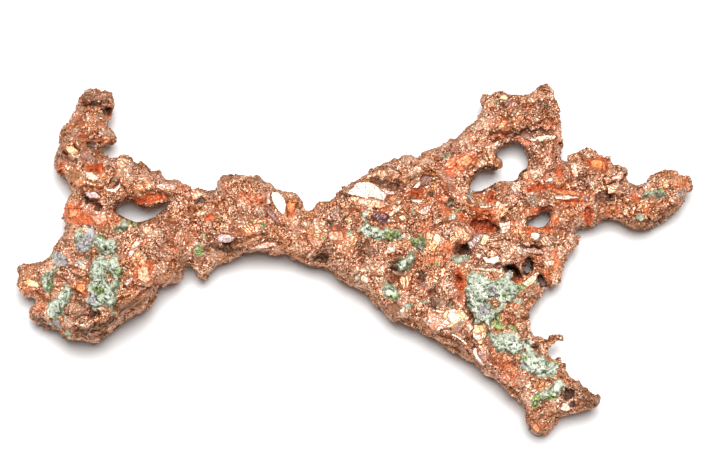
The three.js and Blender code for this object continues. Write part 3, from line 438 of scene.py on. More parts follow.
# %% [markdown]
# Pockets, grooves and ridges come next. The rock once filled the pockets and fell out of them.
# Each is an oval stamp on the page that lifts the top of the nugget or sinks it, with a steep or
# a gentle side.

# %% Pockets and ridges
# x, y, half length, half width, turn, height, softness of the side
STAMPS = [
    (23.6, 9.0, 2.6, 0.5, -5, 0.5, 0.5),
    (29.4, -3.8, 0.9, 0.7, 0, -1.0, 0.4),
    (38.6, 12.9, 3.2, 0.45, -13, -0.8, 0.5),
    (39.3, 11.8, 3.4, 0.5, -10, 0.5, 0.5),
    (39.3, 10.8, 2.8, 0.35, -3, -0.6, 0.5),
    (33.6, 13.6, 2.8, 0.35, 6, -0.7, 0.5),
    (44.4, 17.9, 1.7, 1.1, 0, -1.0, 0.3),
    (45.1, 11.2, 1.2, 0.8, 20, -0.8, 0.5),
    (11.2, 12.4, 0.9, 0.7, 0, -0.9, 0.4),
    (1.2, 1.2, 0.9, 0.6, 0, -0.9, 0.4),
    (14.0, -6.0, 0.7, 0.6, 0, -0.9, 0.4),
    (1.7, -0.7, 0.8, 0.5, 0, -0.9, 0.4),
    (19.2, -5.6, 0.9, 1.2, 5, -0.9, 0.4),
    (-26.3, 8.0, 0.8, 0.7, 0, -0.4, 0.5),
    (-24.0, 2.4, 3.2, 0.35, -12, -0.7, 0.5),
    (-11.7, 9.6, 0.6, 1.0, 0, -0.6, 0.5),
    (-47.6, 29.4, 2.4, 0.35, 0, -0.7, 0.5),
    (-49.8, 23.2, 0.8, 0.6, 0, -0.9, 0.4),
    (-48.0, 21.6, 1.2, 0.5, 0, -0.9, 0.4),
    (-47.2, 17.0, 1.5, 0.7, 10, -0.9, 0.4),
    (-47.6, 10.9, 2.0, 0.4, -30, -0.9, 0.4),
    (-37.0, 11.5, 3.0, 0.6, 14, -0.8, 0.4),
    (-50.6, 8.6, 1.9, 0.5, 10, -0.6, 0.5),
    (-46.4, -10.0, 0.9, 0.4, -10, -1.0, 0.3),
    (-40.6, -8.4, 2.6, 0.6, 32, -0.7, 0.5),
    (-39.0, -8.2, 4.0, 0.35, 44, 0.4, 0.5),
    (30.0, 23.9, 5.4, 0.4, 3, -0.8, 0.5),
    (34.6, 26.0, 1.8, 0.35, 20, -0.7, 0.5),
    (34.6, 29.0, 0.9, 0.6, 0, -0.9, 0.4),
    (20.6, -16.0, 4.6, 0.3, -38, -0.5, 0.5),
    (22.0, -17.6, 4.6, 0.3, -40, 0.4, 0.5),
    (27.0, -21.2, 5.0, 0.35, -45, -0.6, 0.5),
    (20.8, -8.6, 0.35, 3.6, 0, -0.7, 0.5),
]


def stamp(points, normals):
    x, y = wobbled(*page(points))
    top = ramp(0.0, 0.4, normals[:, 2])
    rise = np.zeros(len(points))
    for cx, cy, length, width, turn, height, soft in STAMPS:
        far = oval(x, y, cx, cy, length, width, turn)
        rise += height * (1 - ramp(1 - soft, 1 + soft, far))
    points[:, 2] += rise * top * MM
    return points


set_points(mesh, stamp(points_of(mesh), normals_of(mesh)))
print("stamps", len(STAMPS))

# %% [markdown]
# Large crystal faces catch the light as flat mirrors. Each is drawn as an outline on the page,
# pressed onto a tilted plane of its own and painted with the light it shows: painted highlights in
# white and cream where it lies level, painted shade and painted reflection in tan, brown or mauve
# where it leans away. Between the faces run thin grooves with painted shade and ridges with painted
# highlights.

# %% Crystal faces
# The tones are painted light: white and cream are painted highlights; tan, brown, lilac, mauve and
# plum are painted shade and painted reflection.
TONES_OF_PAINTED_LIGHT = {
    "white": (0.92, 0.77, 0.68),
    "cream": (0.94, 0.68, 0.50),
    "gold": (0.90, 0.60, 0.30),
    "peach": (0.88, 0.46, 0.28),
    "orange": (0.86, 0.26, 0.06),
    "pink": (0.90, 0.60, 0.50),
    "lilac": (0.70, 0.54, 0.54),
    "mauve": (0.44, 0.26, 0.25),
    "plum": (0.17, 0.09, 0.14),
    "tan": (0.60, 0.36, 0.22),
    "brown": (0.34, 0.16, 0.08),
}
FACE_MOVE = 0.9 * MM  # the skin is pressed onto a face by no more than this
BLANK_EDGE = 0.25  # half width of a face's rim on the blank, in millimetres
FINE_EDGE = 0.09  # and on the finer skin
# painted tone of light, shine, slope along x, slope along y, corners
FACES = [
    ("white", 0.9, 0.05, -0.05, [
        (-2.0, 12.3), (-0.6, 13.2), (0.4, 14.2), (1.8, 14.5), (3.4, 14.2), (4.3, 13.5), (4.8, 12.9),
        (5.8, 12.2), (5.4, 11.0), (4.4, 11.2), (3.2, 11.6), (2.0, 11.4), (0.8, 11.7),
        (-0.6, 12.0)]),
    ("pink", 0.9, 0.2, -0.1, [(4.6, 13.3), (6.0, 12.9), (7.4, 12.6), (7.6, 12.2), (6.0, 12.1)]),
    ("tan", 0.7, -0.5, 0.4, [
        (-3.8, 11.0), (-1.4, 13.2), (-0.3, 14.4), (0.2, 14.1), (-1.2, 12.7), (-2.4, 11.5)]),
    ("brown", 0.8, -0.3, 0.7, [
        (2.2, 14.8), (4.0, 14.9), (6.0, 15.0), (7.8, 14.2), (7.5, 13.2), (6.0, 13.4), (4.4, 13.9)]),
    ("tan", 0.6, -0.1, 0.4, [
        (2.0, 15.2), (4.2, 16.8), (6.6, 17.4), (8.4, 16.2), (7.8, 15.3), (5.6, 15.4)]),
    ("white", 1.0, 0.05, 0.0, [(10.4, 13.2), (11.8, 14.7), (12.0, 13.9), (11.5, 13.2)]),
    ("white", 1.0, 0.0, -0.05, [(12.2, 13.9), (13.0, 13.1), (14.4, 14.8), (13.1, 13.8)]),
    ("mauve", 1.0, 0.4, -0.4, [
        (11.9, 15.2), (12.6, 15.9), (14.2, 15.4), (13.7, 14.3), (13.0, 13.9), (12.2, 14.2)]),
    ("peach", 0.5, 0.05, 0.1, [
        (-1.6, 11.8), (0.8, 11.6), (3.2, 11.4), (5.6, 10.9), (6.4, 10.2), (4.6, 9.4), (2.2, 9.8),
        (0.0, 10.2), (-1.4, 10.9)]),
    ("cream", 0.6, 0.1, 0.1, [(0.6, 11.3), (2.4, 11.2), (3.0, 10.4), (1.8, 9.9), (0.6, 10.3)]),
    ("cream", 0.7, 0.0, 0.1, [(9.8, 11.4), (11.6, 11.2), (13.4, 10.9), (11.4, 10.6), (10.2, 10.9)]),
    ("cream", 0.7, -0.1, 0.0, [
        (6.0, 8.2), (7.0, 9.3), (8.4, 10.5), (8.7, 9.8), (7.4, 8.6), (6.6, 7.9)]),
    ("pink", 0.6, 0.1, 0.1, [(11.6, 8.6), (12.4, 9.9), (14.0, 10.0), (13.6, 9.0), (12.6, 8.2)]),
    ("cream", 0.7, 0.0, 0.0, [(7.8, 7.8), (8.8, 8.5), (9.4, 7.8), (8.8, 7.1)]),
    ("orange", 0.7, 0.2, 0.0, [(6.0, 11.4), (7.0, 12.0), (7.6, 11.4), (6.8, 10.6)]),
    ("orange", 0.7, 0.1, -0.2, [(11.2, 5.4), (12.0, 6.2), (12.4, 5.4), (11.8, 4.8)]),
    ("peach", 0.7, 0.0, 0.1, [(12.8, 4.6), (13.4, 5.2), (14.2, 4.6), (14.0, 3.6), (13.0, 3.8)]),
    ("peach", 0.7, 0.1, 0.1, [(-4.8, 4.9), (-2.4, 5.4), (-1.9, 3.8), (-3.4, 3.4), (-4.6, 3.9)]),
    ("gold", 0.6, 0.0, 0.0, [(-2.2, 7.6), (-0.8, 8.2), (-0.2, 7.2), (-1.2, 6.6)]),
    ("plum", 0.7, -0.5, 0.4, [
        (2.9, 8.0), (3.8, 8.9), (5.5, 8.7), (6.5, 7.6), (5.8, 6.4), (4.4, 6.9)]),
    ("brown", 0.7, 0.4, 0.3, [
        (1.4, 2.6), (2.4, 3.6), (2.8, 2.4), (4.4, 0.8), (2.8, 0.3), (1.8, 1.2)]),
    ("tan", 0.7, -0.4, -0.2, [(6.6, -2.0), (8.6, -1.8), (10.2, -2.0), (9.2, -3.3), (7.4, -3.2)]),
    ("cream", 0.6, 0.1, 0.1, [(0.9, -3.2), (2.0, -2.6), (2.8, -3.6), (2.2, -4.7), (1.0, -4.4)]),
    ("tan", 0.7, 0.4, 0.3, [
        (13.6, -8.6), (14.0, -7.2), (15.4, -6.9), (16.6, -8.0), (16.6, -9.0), (15.0, -9.0)]),
    ("brown", 0.6, 0.3, -0.4, [(5.6, -8.8), (7.4, -8.0), (8.4, -9.2), (7.6, -10.4), (6.2, -10.0)]),
    ("peach", 0.7, 0.2, -0.1, [
        (13.4, -8.8), (16.7, -10.1), (15.8, -13.0), (14.0, -13.5), (12.6, -11.6)]),
    ("gold", 0.7, 0.1, -0.1, [
        (16.7, -9.3), (19.9, -9.4), (20.8, -11.2), (18.5, -12.6), (15.8, -13.0), (15.4, -11.0)]),
    ("peach", 0.7, 0.3, 0.0, [
        (19.9, -11.5), (21.5, -11.0), (20.8, -14.2), (19.0, -15.5), (18.1, -13.7)]),
    ("gold", 0.6, 0.0, 0.2, [
        (21.5, -12.8), (23.3, -11.9), (24.0, -14.2), (22.6, -16.0), (21.3, -14.6)]),
    ("brown", 0.7, 0.2, -0.4, [
        (14.0, -13.5), (16.3, -14.2), (19.5, -16.0), (20.8, -18.3), (19.5, -17.4), (16.7, -15.1)]),
    ("cream", 0.9, 0.05, 0.0, [
        (17.0, -9.4), (18.3, -9.2), (19.2, -10.6), (18.4, -11.7), (17.4, -11.9), (16.7, -10.8)]),
    ("pink", 0.8, 0.1, 0.2, [
        (16.6, -11.0), (17.3, -12.0), (16.0, -12.8), (14.8, -13.7), (14.5, -13.4), (15.6, -12.0)]),
    ("cream", 0.8, 0.0, -0.1, [(13.8, -9.3), (16.3, -9.5), (16.2, -10.0), (14.0, -9.9)]),
    ("pink", 0.7, -0.2, 0.2, [
        (13.4, -10.8), (15.4, -10.4), (16.2, -11.2), (14.6, -12.2), (13.2, -11.8)]),
    ("tan", 0.8, 0.35, -0.3, [
        (17.6, -12.4), (19.6, -11.2), (20.2, -12.2), (18.8, -13.6), (17.2, -13.6)]),
    ("cream", 0.8, 0.05, 0.05, [
        (20.0, -12.2), (21.2, -11.9), (21.6, -12.8), (21.0, -13.4), (20.3, -13.0)]),
    ("gold", 0.8, -0.1, 0.1, [
        (21.6, -12.2), (23.0, -12.2), (23.6, -13.4), (22.6, -13.6), (21.7, -13.0)]),
    ("cream", 0.8, 0.0, 0.1, [
        (21.3, -13.6), (22.4, -13.8), (23.5, -13.8), (23.2, -14.8), (22.2, -15.2), (21.4, -14.7)]),
    ("brown", 0.7, 0.4, -0.2, [
        (19.4, -12.9), (20.3, -13.4), (20.9, -14.4), (20.3, -14.9), (18.7, -13.7)]),
    ("cream", 0.9, 0.0, 0.0, [
        (17.2, -14.0), (18.0, -13.9), (19.4, -14.8), (21.4, -16.3), (20.0, -15.9), (18.4, -14.7)]),
    ("white", 0.9, 0.0, 0.0, [
        (21.0, -16.5), (22.0, -16.3), (22.1, -17.6), (22.8, -18.8), (23.7, -20.0), (22.8, -19.9),
        (21.9, -18.8)]),
    ("mauve", 0.7, 0.4, 0.1, [
        (22.3, -16.8), (23.3, -17.4), (23.4, -19.0), (22.9, -18.5), (22.3, -17.5)]),
    ("tan", 0.6, 0.0, -0.5, [
        (16.0, -14.4), (17.6, -14.9), (19.6, -16.4), (18.6, -16.6), (16.6, -15.4)]),
    ("gold", 0.9, 0.05, -0.05, [
        (-59.8, -4.0), (-58.4, -3.8), (-57.3, -4.3), (-57.3, -5.3), (-58.6, -5.2), (-59.8, -4.9)]),
    ("white", 1.0, 0.1, 0.05, [
        (-15.0, 12.6), (-13.8, 12.6), (-12.7, 11.4), (-12.3, 10.2), (-12.6, 8.9), (-13.0, 8.3),
        (-13.7, 8.9), (-14.6, 10.2), (-15.1, 11.4)]),
    ("pink", 0.8, -0.4, 0.0, [
        (-16.1, 12.2), (-15.2, 12.7), (-15.3, 11.2), (-15.0, 10.4), (-15.9, 10.2)]),
    ("mauve", 0.7, -0.5, -0.1, [
        (-16.2, 10.0), (-15.4, 9.7), (-14.0, 7.6), (-13.4, 6.6), (-14.2, 6.8), (-15.6, 8.4)]),
    ("tan", 0.7, 0.1, 0.5, [
        (-13.2, 12.7), (-11.6, 12.6), (-10.5, 11.7), (-11.2, 11.3), (-12.3, 11.9)]),
    ("orange", 0.4, 0.1, 0.1, [
        (-12.3, 10.4), (-11.0, 11.5), (-10.3, 10.8), (-10.8, 9.3), (-11.6, 8.3), (-12.3, 7.9)]),
    ("lilac", 0.8, 0.2, -0.2, [
        (-25.0, 4.2), (-24.2, 4.9), (-22.6, 4.6), (-21.2, 4.2), (-21.8, 3.2), (-23.0, 2.6),
        (-24.6, 3.2)]),
    ("pink", 0.7, 0.05, -0.3, [
        (-19.2, 1.8), (-17.4, 3.0), (-15.4, 3.3), (-13.6, 3.0), (-15.0, 2.1), (-17.4, 1.6)]),
    ("tan", 0.7, 0.1, -0.5, [
        (-22.4, 2.2), (-20.6, 3.0), (-18.0, 4.4), (-16.2, 4.9), (-17.4, 3.7), (-20.2, 2.1),
        (-21.8, 1.6)]),
    ("cream", 0.5, 0.0, 0.1, [
        (-29.4, 8.6), (-27.8, 9.3), (-26.6, 9.0), (-27.2, 8.3), (-28.6, 8.1)]),
    ("peach", 0.8, 0.05, 0.0, [
        (-38.3, 6.0), (-36.6, 6.1), (-36.3, 5.0), (-37.6, 4.4), (-38.4, 5.2)]),
    ("peach", 0.7, 0.0, 0.05, [
        (-39.2, -2.0), (-38.2, -1.2), (-37.0, -1.6), (-36.7, -3.2), (-37.7, -4.4), (-39.0, -3.6)]),
    ("pink", 0.6, -0.2, -0.1, [
        (-41.0, 0.6), (-40.2, 2.6), (-38.6, 4.0), (-38.2, 3.2), (-39.6, 1.4), (-40.4, 0.2)]),
    ("lilac", 0.7, -0.3, 0.1, [(-41.6, -4.5), (-40.2, -3.1), (-39.6, -3.6), (-41.0, -5.1)]),
    ("orange", 0.8, 0.0, 0.05, [
        (-50.0, -5.6), (-49.6, -4.5), (-48.8, -4.4), (-48.3, -5.4), (-48.8, -6.2), (-49.7, -6.1)]),
    ("tan", 0.7, 0.3, -0.1, [
        (-51.2, -8.4), (-49.9, -7.6), (-48.9, -8.8), (-49.3, -10.1), (-50.6, -10.2)]),
    ("cream", 0.7, 0.0, 0.1, [(-49.4, -12.0), (-48.4, -11.8), (-48.0, -12.6), (-49.0, -13.0)]),
    ("tan", 0.7, 0.3, -0.6, [
        (-35.9, -4.8), (-36.6, -5.9), (-38.6, -8.0), (-41.0, -9.8), (-42.6, -10.6), (-42.0, -9.6),
        (-39.6, -7.4), (-37.2, -5.2)]),
    ("brown", 0.6, 0.2, -0.4, [
        (-43.0, -7.6), (-40.6, -6.8), (-38.6, -7.2), (-40.4, -8.8), (-42.6, -9.6)]),
    ("gold", 0.8, 0.0, 0.0, [
        (-52.4, 21.5), (-50.8, 21.2), (-50.0, 20.4), (-50.4, 19.4), (-51.6, 19.6), (-52.6, 20.6)]),
    ("white", 0.9, 0.0, 0.0, [(-46.8, 27.0), (-45.9, 26.7), (-45.6, 26.2), (-46.4, 26.4)]),
    ("mauve", 0.7, -0.2, -0.4, [(-48.9, 22.0), (-47.2, 22.0), (-46.8, 21.0), (-48.4, 21.1)]),
    ("lilac", 0.8, 0.4, 0.2, [(-46.7, 24.0), (-46.0, 24.1), (-45.7, 23.2), (-46.5, 22.9)]),
    ("brown", 0.5, -0.1, 0.5, [
        (-50.6, 30.2), (-49.0, 31.6), (-46.6, 31.8), (-44.6, 31.2), (-44.2, 30.4), (-46.8, 30.4),
        (-48.6, 29.7)]),
    ("cream", 0.7, 0.0, 0.1, [
        (-48.8, 16.4), (-47.4, 16.2), (-46.2, 15.2), (-47.4, 14.6), (-48.8, 15.2)]),
    ("white", 0.9, 0.1, 0.1, [
        (-45.4, 14.7), (-44.8, 13.4), (-43.6, 13.2), (-42.3, 14.7), (-42.2, 13.4), (-43.4, 12.4),
        (-45.0, 12.9)]),
    ("tan", 0.8, 0.4, 0.1, [
        (-44.5, 14.2), (-43.4, 15.8), (-42.4, 15.6), (-43.0, 14.4), (-44.1, 13.6)]),
    ("tan", 0.6, 0.2, 0.3, [
        (-43.6, 18.4), (-42.6, 19.3), (-41.4, 19.3), (-40.6, 18.4), (-41.4, 17.4), (-43.0, 17.2)]),
    ("pink", 0.6, 0.0, 0.3, [
        (-36.0, 14.0), (-34.0, 14.2), (-32.2, 13.9), (-32.6, 13.2), (-34.6, 13.0), (-36.0, 13.3)]),
    ("lilac", 0.8, 0.1, 0.2, [
        (-49.2, 12.7), (-47.0, 12.7), (-46.2, 11.7), (-47.6, 11.5), (-48.8, 11.6)]),
    ("orange", 0.5, 0.0, -0.2, [(-51.8, 9.4), (-49.6, 9.6), (-49.8, 8.2), (-51.6, 7.8)]),
    ("peach", 0.5, 0.1, -0.2, [(-48.0, 8.2), (-45.2, 8.8), (-44.6, 7.4), (-46.6, 6.6)]),
    ("lilac", 0.9, 0.4, 0.2, [
        (20.3, 3.0), (21.4, 3.7), (22.6, 4.7), (23.3, 4.6), (22.4, 3.2), (21.4, 2.1), (20.8, 1.8)]),
    ("gold", 0.8, 0.1, 0.0, [(23.4, 4.8), (24.3, 4.2), (24.3, 3.2), (23.1, 2.4), (22.7, 3.1)]),
    ("pink", 0.8, 0.0, 0.1, [
        (26.3, 6.8), (27.2, 6.8), (28.3, 7.3), (28.2, 5.6), (27.2, 4.8), (26.4, 4.9)]),
    ("pink", 0.9, 0.0, 0.0, [
        (22.8, 0.7), (24.4, 0.3), (26.0, 0.7), (26.4, -0.3), (25.2, -0.9), (23.6, -0.6)]),
    ("cream", 0.7, 0.0, -0.2, [
        (20.8, -1.9), (22.6, -1.5), (25.0, -1.6), (26.8, -2.0), (26.6, -2.7), (24.4, -2.2),
        (22.2, -2.1)]),
    ("mauve", 0.5, 0.1, -0.5, [
        (22.0, -0.6), (24.0, -1.0), (26.6, -1.1), (26.8, -1.6), (24.0, -1.4), (22.2, -1.2)]),
    ("cream", 0.7, -0.1, 0.1, [
        (30.2, -4.5), (31.6, -3.4), (33.2, -2.3), (33.7, -3.0), (32.4, -4.4), (31.2, -5.2)]),
    ("cream", 0.8, 0.0, 0.0, [(32.0, 4.9), (33.4, 5.0), (33.6, 4.2), (33.0, 3.5), (32.0, 3.7)]),
    ("tan", 0.8, 0.4, 0.3, [
        (33.4, 3.5), (34.6, 4.4), (36.4, 4.3), (36.2, 3.0), (35.2, 2.4), (34.0, 2.7)]),
    ("peach", 0.7, 0.0, 0.0, [(36.6, 1.0), (37.4, 1.7), (37.9, 0.6), (37.2, -0.1)]),
    ("tan", 0.6, -0.3, -0.3, [(24.4, 2.2), (26.6, 2.0), (28.4, 3.2), (27.2, 3.8), (25.2, 3.2)]),
    ("pink", 0.7, 0.1, -0.4, [
        (30.2, 1.8), (31.8, 2.2), (33.6, 2.1), (34.4, 1.0), (32.6, 0.9), (31.0, 1.3)]),
    ("cream", 0.8, 0.0, 0.1, [(22.3, 10.1), (24.8, 10.1), (25.1, 9.7), (22.8, 9.6)]),
    ("white", 0.9, 0.0, 0.0, [(34.4, 14.5), (35.4, 15.4), (36.2, 15.2), (35.8, 14.5)]),
    ("pink", 0.9, 0.0, -0.1, [
        (36.2, 12.0), (38.4, 12.1), (41.4, 11.5), (38.6, 11.0), (36.4, 11.2)]),
    ("orange", 0.6, 0.1, -0.3, [
        (36.0, 13.4), (38.4, 13.0), (41.0, 12.4), (40.8, 11.9), (38.0, 12.3), (36.2, 12.6)]),
    ("cream", 0.7, 0.0, -0.1, [
        (31.4, 22.6), (32.6, 23.1), (34.0, 23.3), (36.0, 23.6), (37.0, 23.0), (36.0, 22.3),
        (32.6, 22.1)]),
    ("mauve", 0.9, 0.4, -0.4, [
        (30.5, 23.4), (31.6, 23.8), (32.4, 23.1), (31.6, 22.6), (30.7, 22.8)]),
    ("gold", 0.8, 0.0, 0.1, [(26.3, 30.4), (27.4, 31.1), (28.1, 30.6), (27.4, 30.1)]),
    ("mauve", 0.8, -0.4, 0.3, [
        (27.0, 29.7), (28.4, 30.5), (29.4, 30.1), (30.1, 29.1), (29.4, 28.4), (28.2, 28.7),
        (27.4, 28.8)]),
    ("cream", 0.7, 0.0, 0.0, [(41.6, 19.9), (42.4, 20.9), (43.2, 20.6), (42.6, 20.1)]),
    ("orange", 0.6, 0.0, 0.1, [
        (43.0, 18.2), (44.0, 18.9), (45.4, 18.5), (46.0, 17.0), (44.6, 16.8), (43.4, 17.2)]),
    ("pink", 0.7, 0.1, -0.1, [
        (46.4, 15.2), (48.0, 16.3), (49.2, 16.2), (49.0, 15.2), (47.4, 14.9)]),
    ("gold", 0.7, 0.1, -0.2, [(42.6, 11.0), (42.8, 12.2), (43.3, 12.0), (43.4, 10.8)]),
    ("mauve", 0.8, -0.3, 0.2, [(41.6, 11.8), (42.2, 12.0), (42.6, 10.8), (42.0, 10.6)]),
    ("peach", 0.6, 0.1, -0.2, [(44.4, 9.6), (45.4, 9.8), (45.4, 8.8), (44.6, 8.6)]),
    ("cream", 0.8, 0.0, 0.1, [
        (37.2, -26.9), (38.2, -26.6), (38.8, -27.5), (39.0, -28.2), (38.2, -28.5), (37.0, -28.0)]),
    ("orange", 0.5, 0.0, 0.0, [
        (18.2, 18.6), (20.4, 19.6), (21.6, 18.6), (20.4, 17.4), (18.6, 17.6)]),
]
# painted black shade or a painted tone of light, half width, rise, corners
CREASES = [
    ("painted_shade", 0.16, -0.5, [(29.6, 2.5), (31.0, 2.5), (32.4, 2.3), (33.5, 2.3)]),
    ("painted_shade", 0.16, -0.4, [(25.4, -1.0), (27.2, -1.2)]),
    ("painted_shade", 0.20, -0.4, [
        (-50.4, -13.6), (-48.4, -12.8), (-46.2, -12.2), (-44.2, -11.2), (-42.4, -10.6)]),
    ("painted_shade", 0.16, -0.4, [(-49.4, -14.2), (-47.0, -13.4), (-45.0, -12.4), (-43.2, -11.4)]),
    ("painted_shade", 0.14, -0.4, [(-49.6, -10.4), (-48.6, -10.3), (-47.8, -10.6)]),
    ("tan", 0.22, 0.3, [(-49.6, -14.0), (-47.2, -13.0), (-45.4, -12.0), (-43.0, -10.9)]),
    ("peach", 0.26, 0.4, [(-49.8, -6.6), (-48.9, -7.4), (-48.2, -8.6), (-47.7, -9.6)]),
    ("tan", 0.26, 0.4, [(-50.4, -6.8), (-49.2, -8.0)]),
    ("orange", 0.24, 0.5, [(12.2, 17.0), (14.6, 15.9), (16.0, 14.3), (17.0, 12.4), (18.2, 10.6)]),
    ("tan", 0.22, 0.4, [(8.6, 13.2), (9.8, 14.4), (11.2, 15.9)]),
    ("brown", 0.16, -0.4, [(2.4, 14.9), (5.0, 15.3), (7.6, 15.1)]),
    ("cream", 0.18, 0.2, [(2.6, 15.7), (4.6, 15.5), (6.4, 15.6)]),
    ("painted_shade", 0.22, -0.4, [(20.3, -5.8), (20.4, -8.0), (21.0, -9.8), (21.5, -11.9)]),
    ("painted_shade", 0.14, -0.3, [(20.7, -4.2), (20.8, -6.2), (21.4, -7.2), (21.4, -8.6)]),
    ("painted_shade", 0.18, -0.3, [(32.7, -21.2), (33.5, -20.8), (34.6, -20.6), (35.6, -21.2)]),
    ("brown", 0.18, -0.4, [
        (25.0, 24.0), (27.4, 23.6), (29.0, 23.3), (31.2, 24.3), (33.8, 24.3), (36.0, 24.0)]),
    ("brown", 0.16, -0.3, [(25.4, 22.2), (27.4, 22.9), (29.2, 23.3)]),
    ("brown", 0.18, -0.4, [(31.4, 25.0), (33.8, 25.8), (36.4, 26.5)]),
    ("brown", 0.16, -0.3, [(33.2, 22.0), (35.2, 22.3)]),
    ("cream", 0.16, 0.3, [(26.4, 29.6), (27.4, 28.3), (28.1, 26.8), (29.2, 27.6), (30.6, 29.3)]),
    ("brown", 0.16, -0.3, [(46.2, 14.0), (47.6, 14.6), (49.0, 14.9)]),
    ("brown", 0.20, -0.3, [(50.6, 7.0), (53.6, 7.0), (56.4, 8.6), (58.4, 10.2)]),
    ("brown", 0.16, -0.3, [(-50.2, 22.9), (-48.0, 22.6), (-46.0, 22.4)]),
    ("brown", 0.22, -0.4, [(-52.6, 20.0), (-51.8, 18.6), (-50.4, 18.2)]),
    ("brown", 0.24, -0.5, [(-48.6, 11.4), (-47.4, 10.6), (-46.0, 10.2)]),
    ("painted_shade", 0.20, -0.4, [(-49.2, 29.5), (-47.6, 29.0), (-46.6, 29.4), (-45.6, 29.8)]),
    ("brown", 0.20, -0.4, [(-38.8, 12.6), (-36.6, 12.6), (-34.6, 12.2), (-33.0, 11.8)]),
    ("brown", 0.18, -0.4, [(-27.2, 2.6), (-24.6, 1.9), (-22.6, 1.6)]),
    ("tan", 0.20, 0.3, [(-25.6, 2.6), (-23.6, 2.2), (-21.4, 3.0), (-18.4, 4.4)]),
    ("tan", 0.18, 0.3, [(14.0, -14.2), (16.0, -15.6), (18.2, -17.0), (20.6, -18.4)]),
    ("brown", 0.20, -0.4, [(15.8, -13.9), (18.0, -15.6), (20.4, -17.2), (22.2, -19.4)]),
    ("brown", 0.18, -0.3, [(24.0, -20.8), (26.4, -22.6), (29.0, -25.6), (31.0, -28.0)]),
    ("brown", 0.18, -0.3, [(32.6, -30.0), (34.6, -29.2), (36.6, -28.6)]),
]


def face_planes(points, normals):
    """The plane of each face, through the middle of the skin that it covers."""
    x, y = page(points)
    planes = []
    for *_, corners in FACES:
        near = around(corners, x, y, 0)
        under = near[inside(corners, x[near], y[near]) & (normals[near, 2] > 0.2)]
        planes.append(points[under].mean(0) if len(under) else None)
    return planes


def press_faces(points, normals, planes, edge):
    """Presses the skin onto each face's plane. Returns the points, the shine and the paint, which
    is the face's painted tone of light.
    """
    x, y = page(points)
    seen = ramp(-0.2, 0.3, normals[:, 2])
    shine_of = np.zeros(len(points))
    paint = np.zeros((len(points), 3))
    painted = np.zeros(len(points))
    for (tone, shine, slope_x, slope_y, corners), middle in zip(FACES, planes):
        if middle is None:
            continue
        depth = depth_inside(corners, x, y)
        near = np.nonzero(depth > -edge)[0]
        mark = ramp(-edge, edge, depth[near]) * seen[near]
        across = points[near] - middle
        plane = middle[2] + slope_x * across[:, 0] + slope_y * across[:, 1]
        move = np.clip(plane - points[near, 2], -FACE_MOVE, FACE_MOVE)
        points[near, 2] += mark * move
        shine_of[near] = np.maximum(shine_of[near], shine * mark)
        paint[near] += mark[:, None] * (np.array(TONES_OF_PAINTED_LIGHT[tone]) - paint[near])
        painted[near] = np.maximum(painted[near], mark)
    return points, shine_of, paint, painted


def crease(points, normals, paint, painted, painted_shade):
    """Cuts the thin grooves and raises the thin ridges, and paints each with painted black shade or
    a painted tone of light.
    """
    x, y = wobbled(*page(points))
    for tone, half, rise, corners in CREASES:
        near = around(corners, x, y, 0.8)
        near = near[normals[near, 2] > 0.1]
        far = nearest_on(corners, x[near], y[near], closed=False)[2]
        mark = 1 - ramp(0.5 * half, 1.8 * half, far)
        points[near, 2] += mark * rise * MM
        if tone == "painted_shade":
            painted_shade[near] = np.maximum(painted_shade[near], mark)
        else:
            paint[near] += mark[:, None] * (np.array(TONES_OF_PAINTED_LIGHT[tone]) - paint[near])
            painted[near] = np.maximum(painted[near], 0.8 * mark)
    return points


PLANES = face_planes(points_of(mesh), normals_of(mesh))
points = press_faces(points_of(mesh), normals_of(mesh), PLANES, BLANK_EDGE)[0]
set_points(mesh, points)
print("crystal faces", len(FACES), "creases", len(CREASES))

# %% [markdown]
# The hollows are painted orange red: a painted glow for the light that bounces from copper to
# copper and turns redder each time, and for the dust that stays in them. How deep a vertex lies is
# read by comparing the skin with a smoothed copy of itself: where the copy stands above it, there
# is a hollow. Some places are redder still, with red stains, and others are painted black as shade,
# in pockets, slits and grooves. The crusts are outlined here as well: the pale rock, the leaf green
# rock and the cloudy quartz in it, and the places where copper shows through.

# %% Stains and painted shade
HOLLOW_ROUNDS = 50  # of smoothing, for the skin that hollows are measured from
NORMAL_ROUNDS = 2
RED_EDGE, SHADE_EDGE = 0.25, 0.2  # softness of a stain's rim, as a share of its size
